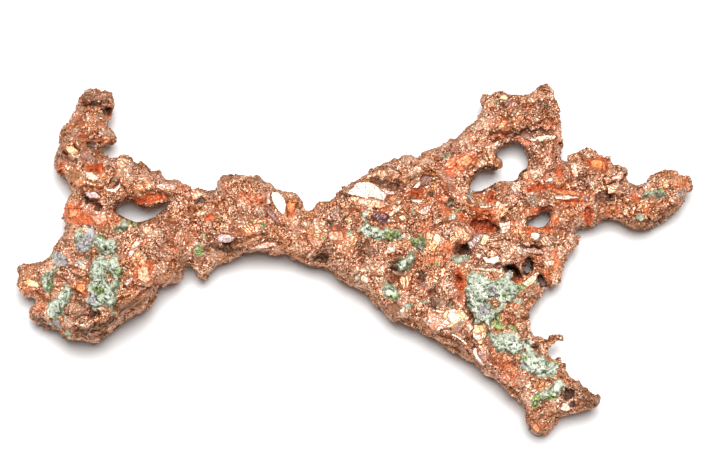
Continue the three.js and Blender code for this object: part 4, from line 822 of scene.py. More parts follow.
# x, y, half length, half width, turn, strength
RED_PLACES = [
    (23.2, 6.8, 2.7, 1.7, 0, 1.0), (23.6, 9.0, 2.6, 0.6, -5, 0.9), (19.2, 7.9, 1.3, 0.8, 0, 0.7),
    (19.3, 2.2, 1.5, 1.2, 0, 0.8), (19.0, -4.4, 1.0, 2.6, 5, 1.0), (24.8, 11.7, 0.9, 1.3, -25, 1.0),
    (31.8, -0.8, 1.0, 1.6, 0, 0.8), (29.3, -3.9, 0.8, 1.0, 0, 0.8), (33.6, 8.9, 2.8, 0.7, 10, 0.9),
    (33.6, 5.8, 2.8, 0.6, 0, 0.9), (36.4, 7.4, 0.5, 1.2, 0, 0.9), (42.3, 8.2, 0.9, 2.1, 0, 1.0),
    (38.4, 12.8, 3.4, 0.6, -14, 1.0), (39.4, 10.8, 3.0, 0.5, -4, 0.8),
    (33.6, 13.5, 2.8, 0.5, 6, 0.8),
    (44.4, 17.9, 1.9, 1.3, 0, 1.0), (19.6, 18.2, 2.6, 1.5, 15, 1.0), (17.6, 16.8, 1.2, 1.2, 0, 0.6),
    (-11.6, 9.2, 0.9, 1.6, 0, 1.0), (-37.4, 11.4, 3.2, 1.0, 12, 1.0),
    (-47.3, 17.2, 1.7, 0.9, 10, 1.0),
    (-45.0, 28.0, 0.8, 1.3, 0, 1.0), (-47.0, 22.3, 2.4, 0.4, 0, 1.0),
    (-46.4, 25.5, 0.6, 0.5, 0, 0.9),
    (-49.6, 23.3, 1.2, 0.7, 0, 0.6), (-51.5, 8.6, 2.2, 1.7, 0, 0.9), (-47.2, 7.6, 3.2, 1.1, 0, 1.0),
    (-53.3, 17.0, 0.7, 1.2, 0, 0.9), (-37.9, -2.5, 1.8, 1.6, 0, 0.9),
    (-49.1, -5.7, 1.0, 1.4, 0, 1.0),
    (-2.8, 4.4, 2.0, 1.2, 0, 0.9), (6.8, 11.5, 0.9, 0.7, 0, 0.7), (11.0, 12.4, 1.2, 1.0, 0, 0.9),
    (13.0, 5.8, 1.4, 1.6, 0, 0.5), (34.6, 25.6, 2.6, 0.7, 12, 0.5), (27.6, 23.4, 2.6, 0.6, 0, 0.6),
    (30.6, 22.2, 1.4, 0.8, 0, 0.7), (36.6, 1.0, 0.6, 0.8, 0, 0.8), (34.9, -3.4, 1.0, 1.0, 0, 0.7),
    (36.6, -0.4, 0.5, 0.9, 0, 0.9), (-26.3, 8.0, 0.9, 0.8, 0, 1.0),
    (-18.5, 11.4, 3.4, 1.0, -12, 0.6),
    (37.2, 16.2, 0.6, 1.6, 0, 0.7), (50.9, 11.6, 0.8, 0.8, 0, 0.8), (-56.8, -8.9, 1.4, 1.2, 0, 0.5),
    (-58.9, -6.2, 1.5, 0.5, 0, 0.9), (46.6, 8.8, 2.0, 1.2, 0, 0.5), (33.6, -31.0, 1.6, 0.8, 0, 0.6),
    (17.0, 1.6, 1.2, 1.6, 0, 0.6), (16.0, 10.4, 1.0, 2.4, 20, 0.6),
    (-31.6, 13.4, 1.6, 0.5, 20, 0.6),
    (27.6, -20.4, 2.4, 1.2, -45, 0.5), (-13.6, 1.0, 1.4, 0.7, 0, 0.4),
    (59.6, 13.6, 1.6, 0.8, 0, 0.5),
]
# Places painted black as shade: pockets, slits and grooves.
SHADE_PLACES = [
    (-47.4, 29.4, 2.6, 0.3, 0, 0.6), (-50.6, 24.0, 1.9, 0.9, 10, 0.3),
    (-45.0, 28.2, 0.5, 0.8, 0, 0.8), (-48.0, 21.6, 1.2, 0.6, 0, 0.9),
    (-53.6, 18.5, 0.5, 1.7, 0, 0.6),
    (-43.3, 14.6, 0.8, 0.9, 40, 0.5), (-47.6, 10.8, 2.0, 0.6, -30, 0.8),
    (-28.2, 11.2, 1.0, 0.6, 10, 1.0),
    (-22.9, 1.9, 2.4, 0.6, -12, 0.6), (5.6, 14.4, 3.0, 0.7, -10, 0.8),
    (-4.2, 6.5, 1.0, 1.0, 0, 0.7), (13.9, 12.2, 0.4, 0.5, 0, 1.0), (1.5, 2.8, 1.2, 0.8, 0, 0.6),
    (1.2, 1.2, 0.8, 0.6, 0, 0.9), (12.3, -3.0, 0.7, 0.9, 0, 0.9), (14.0, -6.0, 0.7, 0.7, 0, 0.9),
    (7.5, -1.4, 1.2, 0.7, 0, 0.9), (14.6, -8.0, 1.6, 0.8, 15, 0.7), (19.0, 2.1, 1.3, 1.0, 0, 1.0),
    (25.7, 6.1, 0.5, 0.7, 0, 1.0), (27.0, 7.4, 0.5, 0.4, 0, 1.0), (28.2, -1.9, 1.3, 0.6, -8, 1.0),
    (31.3, -1.3, 0.9, 1.2, -25, 1.0), (33.9, -4.1, 0.6, 1.0, 30, 0.9),
    (31.5, 2.5, 2.2, 0.3, -2, 0.8),
    (31.6, 11.1, 1.4, 1.1, 0, 0.5), (47.6, 14.5, 1.6, 0.3, 0, 0.8), (45.1, 11.2, 1.0, 0.7, 0, 0.9),
    (41.0, 15.0, 1.0, 0.4, 0, 0.9), (34.6, 29.0, 0.9, 0.5, 0, 0.7), (30.0, 24.0, 5.4, 0.5, 3, 0.5),
    (20.8, -7.0, 0.35, 4.6, 0, 0.9), (32.8, -16.2, 0.7, 0.5, 0, 1.0),
    (34.2, -21.1, 1.4, 0.3, -12, 0.9),
    (37.8, -25.4, 1.2, 0.7, 0, 0.9), (39.2, -27.0, 0.7, 0.5, 0, 1.0),
    (42.2, -26.4, 2.0, 1.6, 0, 0.45), (40.6, -24.9, 2.0, 1.2, -20, 0.4),
    (-46.4, -10.0, 1.1, 0.6, 0, 1.0), (-47.0, -12.6, 3.8, 0.3, 20, 0.7),
    (-47.4, -13.6, 3.4, 0.3, 22, 0.8),
    (-46.6, -14.4, 3.0, 0.3, 24, 0.7), (-40.6, -8.8, 2.6, 0.7, 32, 0.6),
    (-57.2, -11.6, 1.4, 0.9, 0, 0.7),
    (-6.2, 0.6, 1.6, 0.6, 12, 0.9), (29.2, -3.7, 0.8, 0.6, 0, 0.6), (17.2, 10.6, 0.8, 0.9, 0, 0.8),
]
# kind, corners; a later shape lies over the ones before it
CRUST_SHAPES = [
    ("rock", [
        (20.8, -2.4), (21.6, -2.1), (23.0, -2.7), (23.9, -3.3), (24.6, -3.9), (25.6, -3.9),
        (26.2, -3.3), (27.2, -3.4), (27.2, -2.7), (27.9, -2.3), (28.6, -3.0), (28.6, -3.8),
        (29.3, -4.4), (29.7, -5.2), (29.2, -6.0), (29.2, -7.0), (28.5, -7.4), (27.8, -7.9),
        (27.2, -9.0), (26.3, -9.7), (25.3, -10.2), (24.9, -11.2), (24.7, -12.6), (24.2, -13.2),
        (23.8, -12.2), (23.4, -11.7), (22.4, -11.6), (21.6, -11.9), (21.7, -11.0), (21.4, -10.0),
        (21.0, -9.3), (20.6, -8.6), (20.4, -7.4), (20.2, -6.4), (20.1, -5.4), (20.2, -4.4),
        (20.5, -3.4)]),
    ("copper", [
        (23.2, -7.6), (24.4, -7.3), (25.7, -7.3), (26.1, -8.0), (25.8, -8.7), (25.3, -9.3),
        (24.8, -8.9), (24.3, -8.2), (23.5, -8.0)]),
    ("glass", [(24.2, -4.8), (25.6, -5.2), (25.7, -6.2), (24.6, -6.4), (23.9, -5.6)]),
    ("glass", [
        (22.6, -8.4), (24.2, -8.6), (24.8, -9.4), (24.4, -10.6), (22.6, -10.8), (22.0, -9.8)]),
    ("glass", [(27.3, -2.7), (27.9, -2.4), (28.4, -3.0), (28.0, -3.4), (27.3, -3.3)]),
    ("leaf", [(26.5, -5.9), (27.2, -6.2), (27.8, -6.8), (27.4, -7.4), (26.7, -7.2), (26.3, -6.6)]),
    ("leaf", [(24.2, -3.8), (24.9, -4.2), (24.7, -4.8), (24.1, -4.5)]),
    ("rock", [(29.2, -7.6), (30.2, -7.7), (30.6, -8.3), (29.8, -8.6), (29.2, -8.3)]),
    ("rock", [(31.6, -6.0), (32.3, -6.0), (32.4, -6.7), (31.8, -6.9)]),
    ("leaf", [(29.6, -4.8), (30.6, -4.7), (31.2, -5.4), (30.6, -6.0), (29.8, -5.8)]),
    ("rock", [(32.6, -4.0), (33.2, -3.9), (33.8, -4.6), (33.2, -4.9)]),
    ("leaf", [
        (25.2, -10.4), (26.2, -10.3), (26.8, -11.6), (27.4, -12.4), (26.4, -13.2), (25.2, -13.0),
        (25.0, -11.4)]),
    ("copper", [(26.2, -11.0), (27.0, -11.4), (26.8, -12.2), (26.0, -11.8)]),
    ("leaf", [(27.6, -12.6), (28.6, -11.8), (29.6, -12.8), (30.0, -13.8), (28.8, -13.4)]),
    ("rock", [
        (24.0, -13.0), (25.0, -13.9), (26.2, -13.7), (27.4, -13.9), (28.2, -13.2), (28.8, -14.0),
        (29.6, -14.4), (30.1, -15.3), (31.3, -15.2), (32.2, -15.4), (31.9, -16.4), (32.3, -17.2),
        (33.0, -17.9), (34.2, -18.3), (34.7, -19.1), (35.8, -19.2), (36.6, -19.9), (37.0, -20.3),
        (36.5, -20.9), (36.0, -21.7), (34.9, -21.9), (33.4, -21.9), (32.4, -21.5), (31.8, -21.2),
        (30.8, -20.9), (29.9, -20.6), (29.6, -19.7), (30.0, -18.8), (29.8, -17.9), (28.8, -17.7),
        (27.6, -17.3), (26.6, -17.2), (25.6, -17.4), (25.2, -16.4), (24.8, -15.4), (24.2, -14.4)]),
    ("copper", [(30.2, -16.4), (31.3, -16.3), (31.4, -17.1), (30.4, -17.2)]),
    ("glass", [(28.0, -14.6), (29.2, -14.8), (29.0, -15.9), (28.0, -15.7)]),
    ("glass", [(30.0, -19.0), (31.0, -19.2), (31.2, -20.4), (30.0, -20.4)]),
    ("leaf", [(30.2, -17.8), (31.2, -18.2), (31.0, -18.9), (30.3, -18.7)]),
    ("leaf", [(34.6, -19.1), (36.0, -18.9), (36.8, -19.5), (35.8, -19.6)]),
    ("rock", [
        (36.2, -22.5), (37.4, -22.4), (38.0, -23.2), (37.4, -24.2), (36.4, -24.9), (36.0, -25.6),
        (34.8, -25.8), (33.8, -25.6), (33.2, -26.2), (32.6, -27.6), (31.8, -27.4), (32.0, -26.3),
        (32.3, -25.4), (33.0, -24.9), (34.0, -24.4), (34.8, -24.0), (35.6, -23.6)]),
    ("leaf", [
        (31.7, -27.4), (31.9, -26.2), (32.3, -25.3), (33.1, -25.0), (33.6, -25.6), (33.2, -26.4),
        (32.6, -27.8)]),
    ("leaf", [
        (33.6, -25.6), (34.8, -25.5), (36.6, -25.0), (36.6, -25.9), (35.2, -26.4), (33.8, -26.1)]),
    ("rock", [
        (-51.6, -4.7), (-50.8, -5.0), (-51.0, -6.2), (-51.2, -7.4), (-51.6, -8.5), (-52.4, -9.2),
        (-53.2, -9.8), (-53.5, -10.6), (-53.2, -11.4), (-54.6, -11.0), (-55.2, -10.2),
        (-55.6, -9.2), (-55.8, -8.4), (-54.9, -7.8), (-53.9, -7.5), (-53.3, -7.0), (-52.9, -6.0),
        (-52.7, -5.2), (-52.4, -4.8)]),
    ("glass", [
        (-55.2, -11.4), (-53.4, -11.6), (-52.9, -12.2), (-53.0, -12.9), (-54.4, -12.8),
        (-55.4, -12.2)]),
    ("rock", [(-52.2, -13.3), (-51.4, -13.2), (-50.9, -13.9), (-51.4, -14.6), (-52.2, -14.3)]),
    ("rock", [
        (-53.3, -1.5), (-53.6, -2.3), (-54.3, -2.8), (-54.7, -3.4), (-54.8, -4.2), (-54.3, -4.7),
        (-54.5, -5.6), (-55.2, -5.9), (-56.2, -5.8), (-56.7, -5.6), (-56.4, -4.6), (-56.6, -3.8),
        (-56.3, -3.0), (-55.6, -2.4), (-54.9, -2.2), (-54.4, -1.6)]),
    ("leaf", [(-55.4, -4.2), (-54.6, -4.2), (-54.3, -4.9), (-54.7, -5.7), (-55.5, -5.6)]),
    ("leaf", [(-54.1, -1.2), (-53.3, -1.4), (-53.6, -2.1), (-54.3, -1.9)]),
    ("glass", [
        (-54.6, 0.4), (-54.4, 1.2), (-53.2, 1.3), (-52.3, 0.8), (-51.8, -0.1), (-52.0, -1.0),
        (-53.0, -1.4), (-54.4, -1.2)]),
    ("leaf", [(-55.0, 0.8), (-54.5, 0.9), (-54.5, 0.0), (-54.9, 0.0)]),
    ("glass", [
        (-50.5, 3.0), (-50.2, 2.1), (-49.4, 1.5), (-48.4, 1.3), (-47.6, 1.8), (-47.0, 2.4),
        (-47.3, 3.4), (-46.9, 4.3), (-46.7, 5.2), (-47.6, 6.0), (-48.4, 5.8), (-48.6, 5.0),
        (-48.9, 4.2), (-49.6, 3.6)]),
    ("rock", [
        (-50.9, 4.2), (-50.3, 4.9), (-49.6, 5.3), (-48.8, 4.9), (-49.0, 4.0), (-49.7, 3.5),
        (-50.6, 3.5)]),
    ("leaf", [(-50.2, 5.2), (-49.6, 5.9), (-49.3, 5.3)]),
    ("rock", [
        (-47.2, 3.4), (-46.9, 2.7), (-45.9, 2.1), (-44.6, 2.0), (-44.2, 1.4), (-43.3, 1.2),
        (-42.7, 1.8), (-42.5, 2.6), (-43.0, 3.4), (-43.8, 3.9), (-44.8, 3.7), (-45.2, 4.3),
        (-46.2, 4.7), (-46.9, 4.2)]),
    ("leaf", [(-46.6, 4.6), (-45.4, 4.6), (-44.8, 4.0), (-45.8, 3.6), (-46.6, 3.9)]),
    ("glass", [(-50.0, -0.6), (-49.2, 0.2), (-48.4, 0.0), (-48.8, -0.8)]),
    ("leaf", [(-49.0, 0.4), (-47.8, 0.7), (-47.6, 0.1), (-48.6, -0.2)]),
    ("rock", [
        (-47.6, -0.8), (-47.0, 0.2), (-46.2, 0.9), (-45.3, 1.1), (-44.8, 0.3), (-44.2, -0.3),
        (-44.1, 0.5), (-43.1, 0.8), (-42.6, 0.1), (-42.3, -0.8), (-41.8, -1.6), (-41.7, -2.6),
        (-42.4, -3.0), (-42.6, -4.2), (-42.9, -5.3), (-43.2, -6.0), (-43.0, -7.0), (-42.7, -7.9),
        (-43.2, -8.6), (-43.3, -9.6), (-43.4, -10.9), (-43.8, -10.6), (-43.9, -9.4), (-44.2, -8.4),
        (-45.0, -8.2), (-45.8, -8.8), (-46.4, -9.5), (-47.2, -9.2), (-48.0, -8.4), (-48.2, -7.4),
        (-47.6, -6.4), (-47.9, -5.4), (-47.6, -4.4), (-47.2, -3.2), (-47.5, -2.0)]),
    ("copper", [
        (-44.7, -2.5), (-43.9, -2.3), (-43.3, -3.0), (-43.4, -3.9), (-44.2, -4.3), (-44.7, -3.7)]),
    ("glass", [(-48.1, -6.5), (-46.9, -6.4), (-46.2, -7.2), (-46.6, -8.8), (-47.6, -8.6)]),
    ("leaf", [(-47.0, -5.2), (-45.6, -5.0), (-44.8, -6.0), (-45.6, -6.8), (-46.6, -6.2)]),
    ("leaf", [(-43.2, -1.4), (-42.0, -1.6), (-42.0, -2.8), (-43.0, -2.6)]),
    ("leaf", [(-45.4, -2.0), (-44.8, -2.1), (-44.8, -3.2), (-45.3, -3.0)]),
    ("rock", [
        (-43.5, 6.0), (-42.5, 6.3), (-41.8, 7.2), (-40.9, 7.2), (-40.4, 6.7), (-40.6, 6.1),
        (-42.0, 5.9)]),
    ("leaf", [(-40.8, 6.8), (-40.0, 6.9), (-39.4, 6.4), (-40.4, 6.2)]),
    ("glass", [(-38.9, 1.8), (-38.2, 1.0), (-37.7, -0.5), (-38.4, 0.2)]),
    ("rock", [
        (1.0, 8.6), (1.7, 9.3), (2.0, 8.5), (2.0, 7.8), (2.9, 6.9), (3.8, 6.0), (5.2, 5.8),
        (6.6, 5.7), (7.9, 5.7), (8.5, 5.2), (8.4, 4.6), (7.6, 4.2), (6.4, 3.8), (5.4, 3.6),
        (4.2, 3.8), (3.0, 4.0), (2.0, 3.7), (1.5, 4.4), (0.7, 5.0), (0.7, 5.5), (1.5, 6.2),
        (2.0, 7.0), (1.7, 7.8)]),
    ("leaf", [(5.8, 5.0), (7.4, 5.8), (8.6, 5.4), (8.2, 4.6), (6.8, 4.0), (5.2, 3.8)]),
    ("rock", [(-1.6, 4.2), (-1.3, 5.3), (-0.5, 5.3), (-0.7, 4.0)]),
    ("leaf", [
        (10.0, 3.3), (10.4, 4.2), (11.2, 4.0), (11.8, 4.6), (12.5, 4.0), (12.9, 3.2), (12.0, 3.0),
        (10.6, 2.9)]),
    ("rock", [
        (11.4, 3.2), (12.5, 3.2), (12.7, 2.4), (12.3, 1.8), (11.5, 1.5), (11.0, 1.9), (11.6, 2.6)]),
    ("rock", [
        (10.0, 1.5), (10.9, 1.4), (10.8, 0.4), (11.0, -0.2), (10.0, -0.8), (9.4, -1.5), (9.0, -2.1),
        (8.0, -1.9), (7.1, -1.3), (7.6, -0.7), (8.4, -0.5), (8.8, 0.2), (9.5, 0.8)]),
    ("rock", [
        (5.1, -5.0), (6.2, -4.6), (7.0, -5.0), (7.5, -5.8), (7.9, -6.8), (7.2, -7.6), (6.2, -7.4),
        (5.3, -6.6)]),
    ("leaf", [(6.4, -6.8), (7.6, -6.6), (8.0, -7.2), (7.2, -7.8), (6.4, -7.5)]),
    ("rock", [(9.2, -8.0), (10.0, -7.9), (10.4, -8.6), (9.8, -9.2), (9.1, -8.8)]),
    ("rock", [(11.2, -7.7), (12.8, -7.6), (13.2, -8.2), (12.2, -8.3)]),
    ("leaf", [(16.9, -7.6), (17.4, -7.4), (17.6, -8.3), (17.1, -8.4)]),
    ("rock", [(0.1, -2.6), (0.7, -2.6), (0.7, -3.6), (0.1, -3.4)]),
    ("rock", [(10.4, 9.4), (10.8, 9.4), (10.9, 8.2), (10.4, 8.2)]),
    ("rock", [
        (17.1, 7.7), (17.6, 8.6), (18.4, 9.3), (19.2, 9.4), (18.7, 8.4), (18.5, 7.6), (17.6, 7.2)]),
    ("leaf", [(18.2, 9.2), (18.9, 9.8), (19.2, 9.3), (18.6, 8.9)]),
    ("leaf", [(17.0, 10.6), (17.4, 11.0), (17.6, 10.2), (17.2, 10.0)]),
    ("rock", [
        (17.2, 0.5), (18.6, 0.9), (20.4, 0.5), (21.2, 0.4), (20.0, -0.4), (19.0, -1.1),
        (18.0, -0.5)]),
    ("leaf", [(14.2, -0.8), (15.0, -0.7), (15.2, -1.3), (14.4, -1.5)]),
    ("glass", [(20.9, 12.6), (21.6, 12.8), (21.6, 11.4), (21.0, 11.0)]),
    ("leaf", [(-28.9, 1.8), (-28.2, 2.7), (-27.4, 2.2), (-27.2, 1.3), (-28.2, 0.6), (-29.0, 0.9)]),
    ("leaf", [(-29.7, 3.5), (-29.2, 3.9), (-28.9, 3.3), (-29.4, 3.0)]),
    ("leaf", [(-27.7, 4.3), (-27.1, 4.7), (-26.8, 4.1), (-27.3, 3.8)]),
    ("leaf", [(-17.2, 6.2), (-16.4, 6.7), (-16.0, 6.1), (-16.7, 5.9)]),
    ("leaf", [(-6.1, 4.0), (-5.6, 4.5), (-5.2, 4.1), (-5.4, 3.5), (-5.9, 3.4)]),
    ("rock", [(25.3, 29.6), (25.8, 30.3), (26.5, 29.8), (26.1, 29.2)]),
    ("leaf", [(34.4, 29.2), (35.0, 29.3), (35.0, 28.8), (34.5, 28.8)]),
    ("leaf", [(41.8, 14.9), (42.4, 15.0), (42.2, 14.6)]),
    ("rock", [
        (51.7, 11.6), (53.2, 11.8), (54.6, 12.1), (56.0, 12.2), (56.4, 12.6), (54.8, 12.9),
        (53.4, 12.4), (52.0, 12.0)]),
    ("leaf", [(54.8, 12.9), (55.4, 13.6), (56.2, 12.9), (56.8, 12.2), (56.0, 12.4)]),
    ("rock", [(50.7, 7.9), (51.2, 8.3), (52.2, 8.5), (52.6, 7.9), (52.0, 7.1), (50.9, 7.2)]),
    ("glass", [(58.8, 11.8), (59.4, 13.2), (60.0, 13.9), (60.4, 13.3), (59.8, 12.4), (59.2, 11.4)]),
    ("rock", [(15.6, 19.2), (16.6, 19.6), (17.6, 20.4), (17.4, 19.4), (16.4, 18.8)]),
]


def crusted(points):
    """How deep each point lies, on the page, in crust, in leaf green rock and in cloudy quartz."""
    x, y = wobbled(*page(points))
    crust = np.full(len(points), -1.0)
    leaf = np.full(len(points), -1.0)
    glass = np.full(len(points), -1.0)
    for kind, corners in CRUST_SHAPES:
        depth = depth_inside(corners, x, y)
        if kind == "copper":
            crust = np.minimum(crust, -depth)
            continue
        crust = np.maximum(crust, depth)
        leaf = np.maximum(leaf, depth) if kind == "leaf" else np.minimum(leaf, -depth)
        glass = np.maximum(glass, depth) if kind == "glass" else np.minimum(glass, -depth)
    return crust, leaf, glass


def marks(places, points, normals, soft):
    """How strongly each point is marked by a list of places, from 0 to 1."""
    x, y = wobbled(*page(points))
    found = np.zeros(len(points))
    for cx, cy, length, width, turn, strength in places:
        reach = max(length, width) * (1 + soft) + 0.1
        near = np.nonzero((np.abs(x - cx) < reach) & (np.abs(y - cy) < reach))[0]
        far = oval(x[near], y[near], cx, cy, length, width, turn)
        found[near] = np.maximum(found[near], strength * (1 - ramp(1 - soft, 1 + soft, far)))
    return found * ramp(-0.2, 0.2, normals[:, 2])


normals = normals_of(mesh)
points = points_of(mesh)
wide = neighbour_average(mesh, points, HOLLOW_ROUNDS)
hollow = ((wide - points) * normals).sum(1) / MM
soft_normals = neighbour_average(mesh, normals, NORMAL_ROUNDS)
set_value(mesh, "hollow", np.clip(hollow, -2, 2))
# rim marks the sides that face the back and wall the steep sides; the finish paints both darker as
# shade
set_value(mesh, "rim", ramp(0.45, 0.9, soft_normals[:, 1]) * ramp(-0.4, 0.1, soft_normals[:, 2]))
set_value(mesh, "wall", 1 - ramp(0.3, 0.75, soft_normals[:, 2]))
set_value(mesh, "outward", soft_normals)
print("hollow from", round(float(hollow.min()), 2), "to", round(float(hollow.max()), 2), "mm")

# %% [markdown]
# The skin is parted again along the CAD's pieces, so that each of them has its own finished
# mesh. Every face goes to the copper node whose surface is nearest. The relief that follows
# moves each vertex by its place alone, so the parted edges stay together.

# %% Part the blank
def nearest_node(centres):
    """For each point, the number of the copper node nearest to it."""
    best = np.full(len(centres), 1e9)
    owner = np.zeros(len(centres), int)
    for number, node in enumerate(COPPER_NODES):
        data = frame["nodes"][node].data
        tree = BVHTree.FromPolygons(
            [v.co for v in data.vertices], [tuple(p.vertices) for p in data.polygons]
        )
        low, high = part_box(node)
        near = np.all(centres > np.array(low) - 2 * MM, 1)
        near &= np.all(centres < np.array(high) + 2 * MM, 1)
        for i in np.nonzero(near)[0]:
            hit = tree.find_nearest(Vector(centres[i]))
            if hit[3] < best[i]:
                best[i] = hit[3]
                owner[i] = number
    return owner


def part(mesh, owner, number, name):
    """A copy of the mesh that keeps one owner's faces only."""
    piece = mesh.copy()
    work = bmesh.new()
    work.from_mesh(piece)
    work.faces.ensure_lookup_table()
    lost = [face for face in work.faces if owner[face.index] != number]
    bmesh.ops.delete(work, geom=lost, context="FACES")
    work.to_mesh(piece)
    work.free()
    piece.name = name
    return piece


owner = nearest_node(vectors_of(mesh.polygons, "center"))
copper = {}
for number, node in enumerate(COPPER_NODES):
    copper[node] = show("copper_" + node, part(mesh, owner, number, "copper_" + node))
bpy.data.objects.remove(blank)
print("faces per piece", {n: len(o.data.polygons) for n, o in copper.items()})

# %% [markdown]
# The hackly relief is crystal faces at three sizes. A Voronoi texture splits space into cells.
# In each cell the surface is tilted by a random slope and lifted by a random step, so cells meet
# in ridges and ledges as grown crystals do. Geometry Nodes does it for every vertex at once, and
# the sizes are inputs of the tree.

# %% The tree that grows the grain
GRAIN_SIZES = {
    "Block": 3.4 * MM,
    "Block rise": 0.22 * MM,
    "Crystal": 1.5 * MM,
    "Crystal rise": 0.07 * MM,
    "Grain": 0.62 * MM,
    "Grain rise": 0.05 * MM,
    "Faces": 0.09,  # the share of blocks that have one smooth face
}


class Tree:
    """A node tree with short ways to add nodes, link them and set their sockets."""

    def __init__(self, tree):
        self.tree = tree

    def add(self, kind, settings=None, **inputs):
        node = self.tree.nodes.new(kind)
        for name, value in (settings or {}).items():
            setattr(node, name, value)
        for name, value in inputs.items():
            self.feed(node, name, value)
        return node

    def feed(self, node, name, value):
        key = int(name[1:]) if name[0] == "i" and name[1:].isdigit() else name.replace("_", " ")
        socket = node.inputs[key]
        if isinstance(value, Value):
            value = value.socket
        if isinstance(value, bpy.types.NodeSocket):
            self.tree.links.new(value, socket)
        else:
            socket.default_value = value

    def math(self, operation, *values):
        node = self.add("ShaderNodeMath", {"operation": operation})
        for index, value in enumerate(values):
            self.feed(node, f"i{index}", value)
        return Value(self, node.outputs[0])

    def vector(self, operation, *values, out=0, scale=None):
        node = self.add("ShaderNodeVectorMath", {"operation": operation})
        for index, value in enumerate(values):
            self.feed(node, f"i{index}", value)
        if scale is not None:
            self.feed(node, "Scale", scale)
        return Value(self, node.outputs[out])


class Value:
    """A socket that can be added, subtracted, multiplied and divided like a number."""

    def __init__(self, tree, socket):
        self.tree = tree
        self.socket = socket

    def __add__(self, other):
        return self.tree.math("ADD", self, other)

    def __radd__(self, other):
        return self.tree.math("ADD", other, self)

    def __sub__(self, other):
        return self.tree.math("SUBTRACT", self, other)

    def __rsub__(self, other):
        return self.tree.math("SUBTRACT", other, self)

    def __mul__(self, other):
        return self.tree.math("MULTIPLY", self, other)

    def __rmul__(self, other):
        return self.tree.math("MULTIPLY", other, self)

    def __truediv__(self, other):
        return self.tree.math("DIVIDE", self, other)

    def __rtruediv__(self, other):
        return self.tree.math("DIVIDE", other, self)

    def clamp(self):
        held = self.tree.math("ADD", self, 0.0)
        held.socket.node.use_clamp = True
        return held

    def between(self, low, high):
        """0 up to low, 1 from high."""
        smooth = {"interpolation_type": "SMOOTHSTEP"}
        node = self.tree.add(
            "ShaderNodeMapRange", smooth, Value=self, From_Min=low, From_Max=high
        )
        return Value(self.tree, node.outputs[0])


def new_geometry_tree(name, sizes):
    """A tree with a geometry input and output and one number input for each named size."""
    group = bpy.data.node_groups.new(name, "GeometryNodeTree")
    group.interface.new_socket("Geometry", in_out="INPUT", socket_type="NodeSocketGeometry")
    for size in sizes:
        group.interface.new_socket(size, in_out="INPUT", socket_type="NodeSocketFloat")
    group.interface.new_socket("Geometry", in_out="OUTPUT", socket_type="NodeSocketGeometry")
    tree = Tree(group)
    return tree, tree.add("NodeGroupInput"), tree.add("NodeGroupOutput")


def set_inputs(modifier, values):
    """Sets a geometry modifier's inputs by their identifiers."""
    for item in modifier.node_group.interface.items_tree:
        if item.in_out == "INPUT" and item.name in values:
            modifier[item.identifier] = values[item.name]


def stored(tree, name, kind="FLOAT"):
    node = tree.add("GeometryNodeInputNamedAttribute", {"data_type": kind}, Name=name)
    live = [s for s in node.outputs if s.enabled and s.name == "Attribute"]
    return Value(tree, live[0])


def cells_of(tree, place, size):
    """Space split into cells: their own colours, middles and distances."""
    return tree.add(
        "ShaderNodeTexVoronoi", {"voronoi_dimensions": "3D"}, Vector=place, Scale=1 / size
    )


def crystal_layer(tree, place, cell, slope, step):
    """Height of one size of crystals: random tilt and random step in every cell."""
    cells = cells_of(tree, place, cell)
    chance = Value(tree, cells.outputs["Color"])
    lean = tree.vector("SUBTRACT", chance, (0.5, 0.5, 0.5))
    from_middle = tree.vector("SUBTRACT", place, Value(tree, cells.outputs["Position"]))
    tilt = tree.vector("DOT_PRODUCT", lean, from_middle, out=1)
    pick = tree.vector("DOT_PRODUCT", chance, (0.9, -0.3, -0.6), out=1)
    draw = tree.vector("DOT_PRODUCT", chance, (0.0, 0.0, 1.0), out=1)
    return tilt * slope * 2.0 + pick * step, draw


def grain_tree():
    tree, given, made = new_geometry_tree("hackly grain", GRAIN_SIZES)
    size = {name: Value(tree, given.outputs[name]) for name in GRAIN_SIZES}
    place = Value(tree, tree.add("GeometryNodeInputPosition").outputs[0])
    outward = stored(tree, "outward", "FLOAT_VECTOR")
    film = stored(tree, "crust").between(-0.1, 0.1)
    wander = tree.add("ShaderNodeTexNoise", Vector=place, Scale=0.35 / MM)
    drift = tree.vector("SCALE", Value(tree, wander.outputs["Color"]), scale=0.9 * MM)
    bent = tree.vector("ADD", place, drift)

    block, block_chance = crystal_layer(tree, bent, size["Block"], 0.30, size["Block rise"])
    crystal, crystal_chance = crystal_layer(tree, bent, size["Crystal"], 0.30, size["Crystal rise"])
    grain = crystal_layer(tree, place, size["Grain"], 0.34, size["Grain rise"])[0]

    smooth_block = tree.math("LESS_THAN", block_chance, size["Faces"]) * 0.85
    smooth_crystal = tree.math("LESS_THAN", crystal_chance, size["Faces"] * 0.8) * 0.8
    chosen = tree.math("MAXIMUM", smooth_block, smooth_crystal) * (1 - film)
    chosen = chosen * (1 - stored(tree, "wall"))
    placed = stored(tree, "polish")
    polish = tree.math("MAXIMUM", placed, chosen)
    calm = (1 - stored(tree, "wall") * 0.25) * (1 - film * 0.4)
    height = block * calm * (1 - placed * 0.9)
    height = height + crystal * calm * (1 - placed * 0.95) * (1 - smooth_block * 0.8)
    height = height + grain * calm * (1 - polish * 0.97)

    moved = tree.add(
        "GeometryNodeSetPosition",
        Geometry=given.outputs["Geometry"],
        Offset=tree.vector("SCALE", outward, scale=height),
    )
    for name, value in (("polish", polish), ("tint", block_chance), ("shade", crystal_chance)):
        moved = tree.add("GeometryNodeStoreNamedAttribute", Geometry=moved.outputs[0], Name=name)
        tree.feed(moved, "Value", value)
    solid = tree.add("GeometryNodeRealizeInstances", Geometry=moved.outputs[0])
    finish = tree.add("GeometryNodeSetMaterial", Geometry=solid.outputs[0])
    finish.inputs["Material"].default_value = COPPER
    tree.feed(made, "Geometry", finish.outputs[0])
    return tree.tree
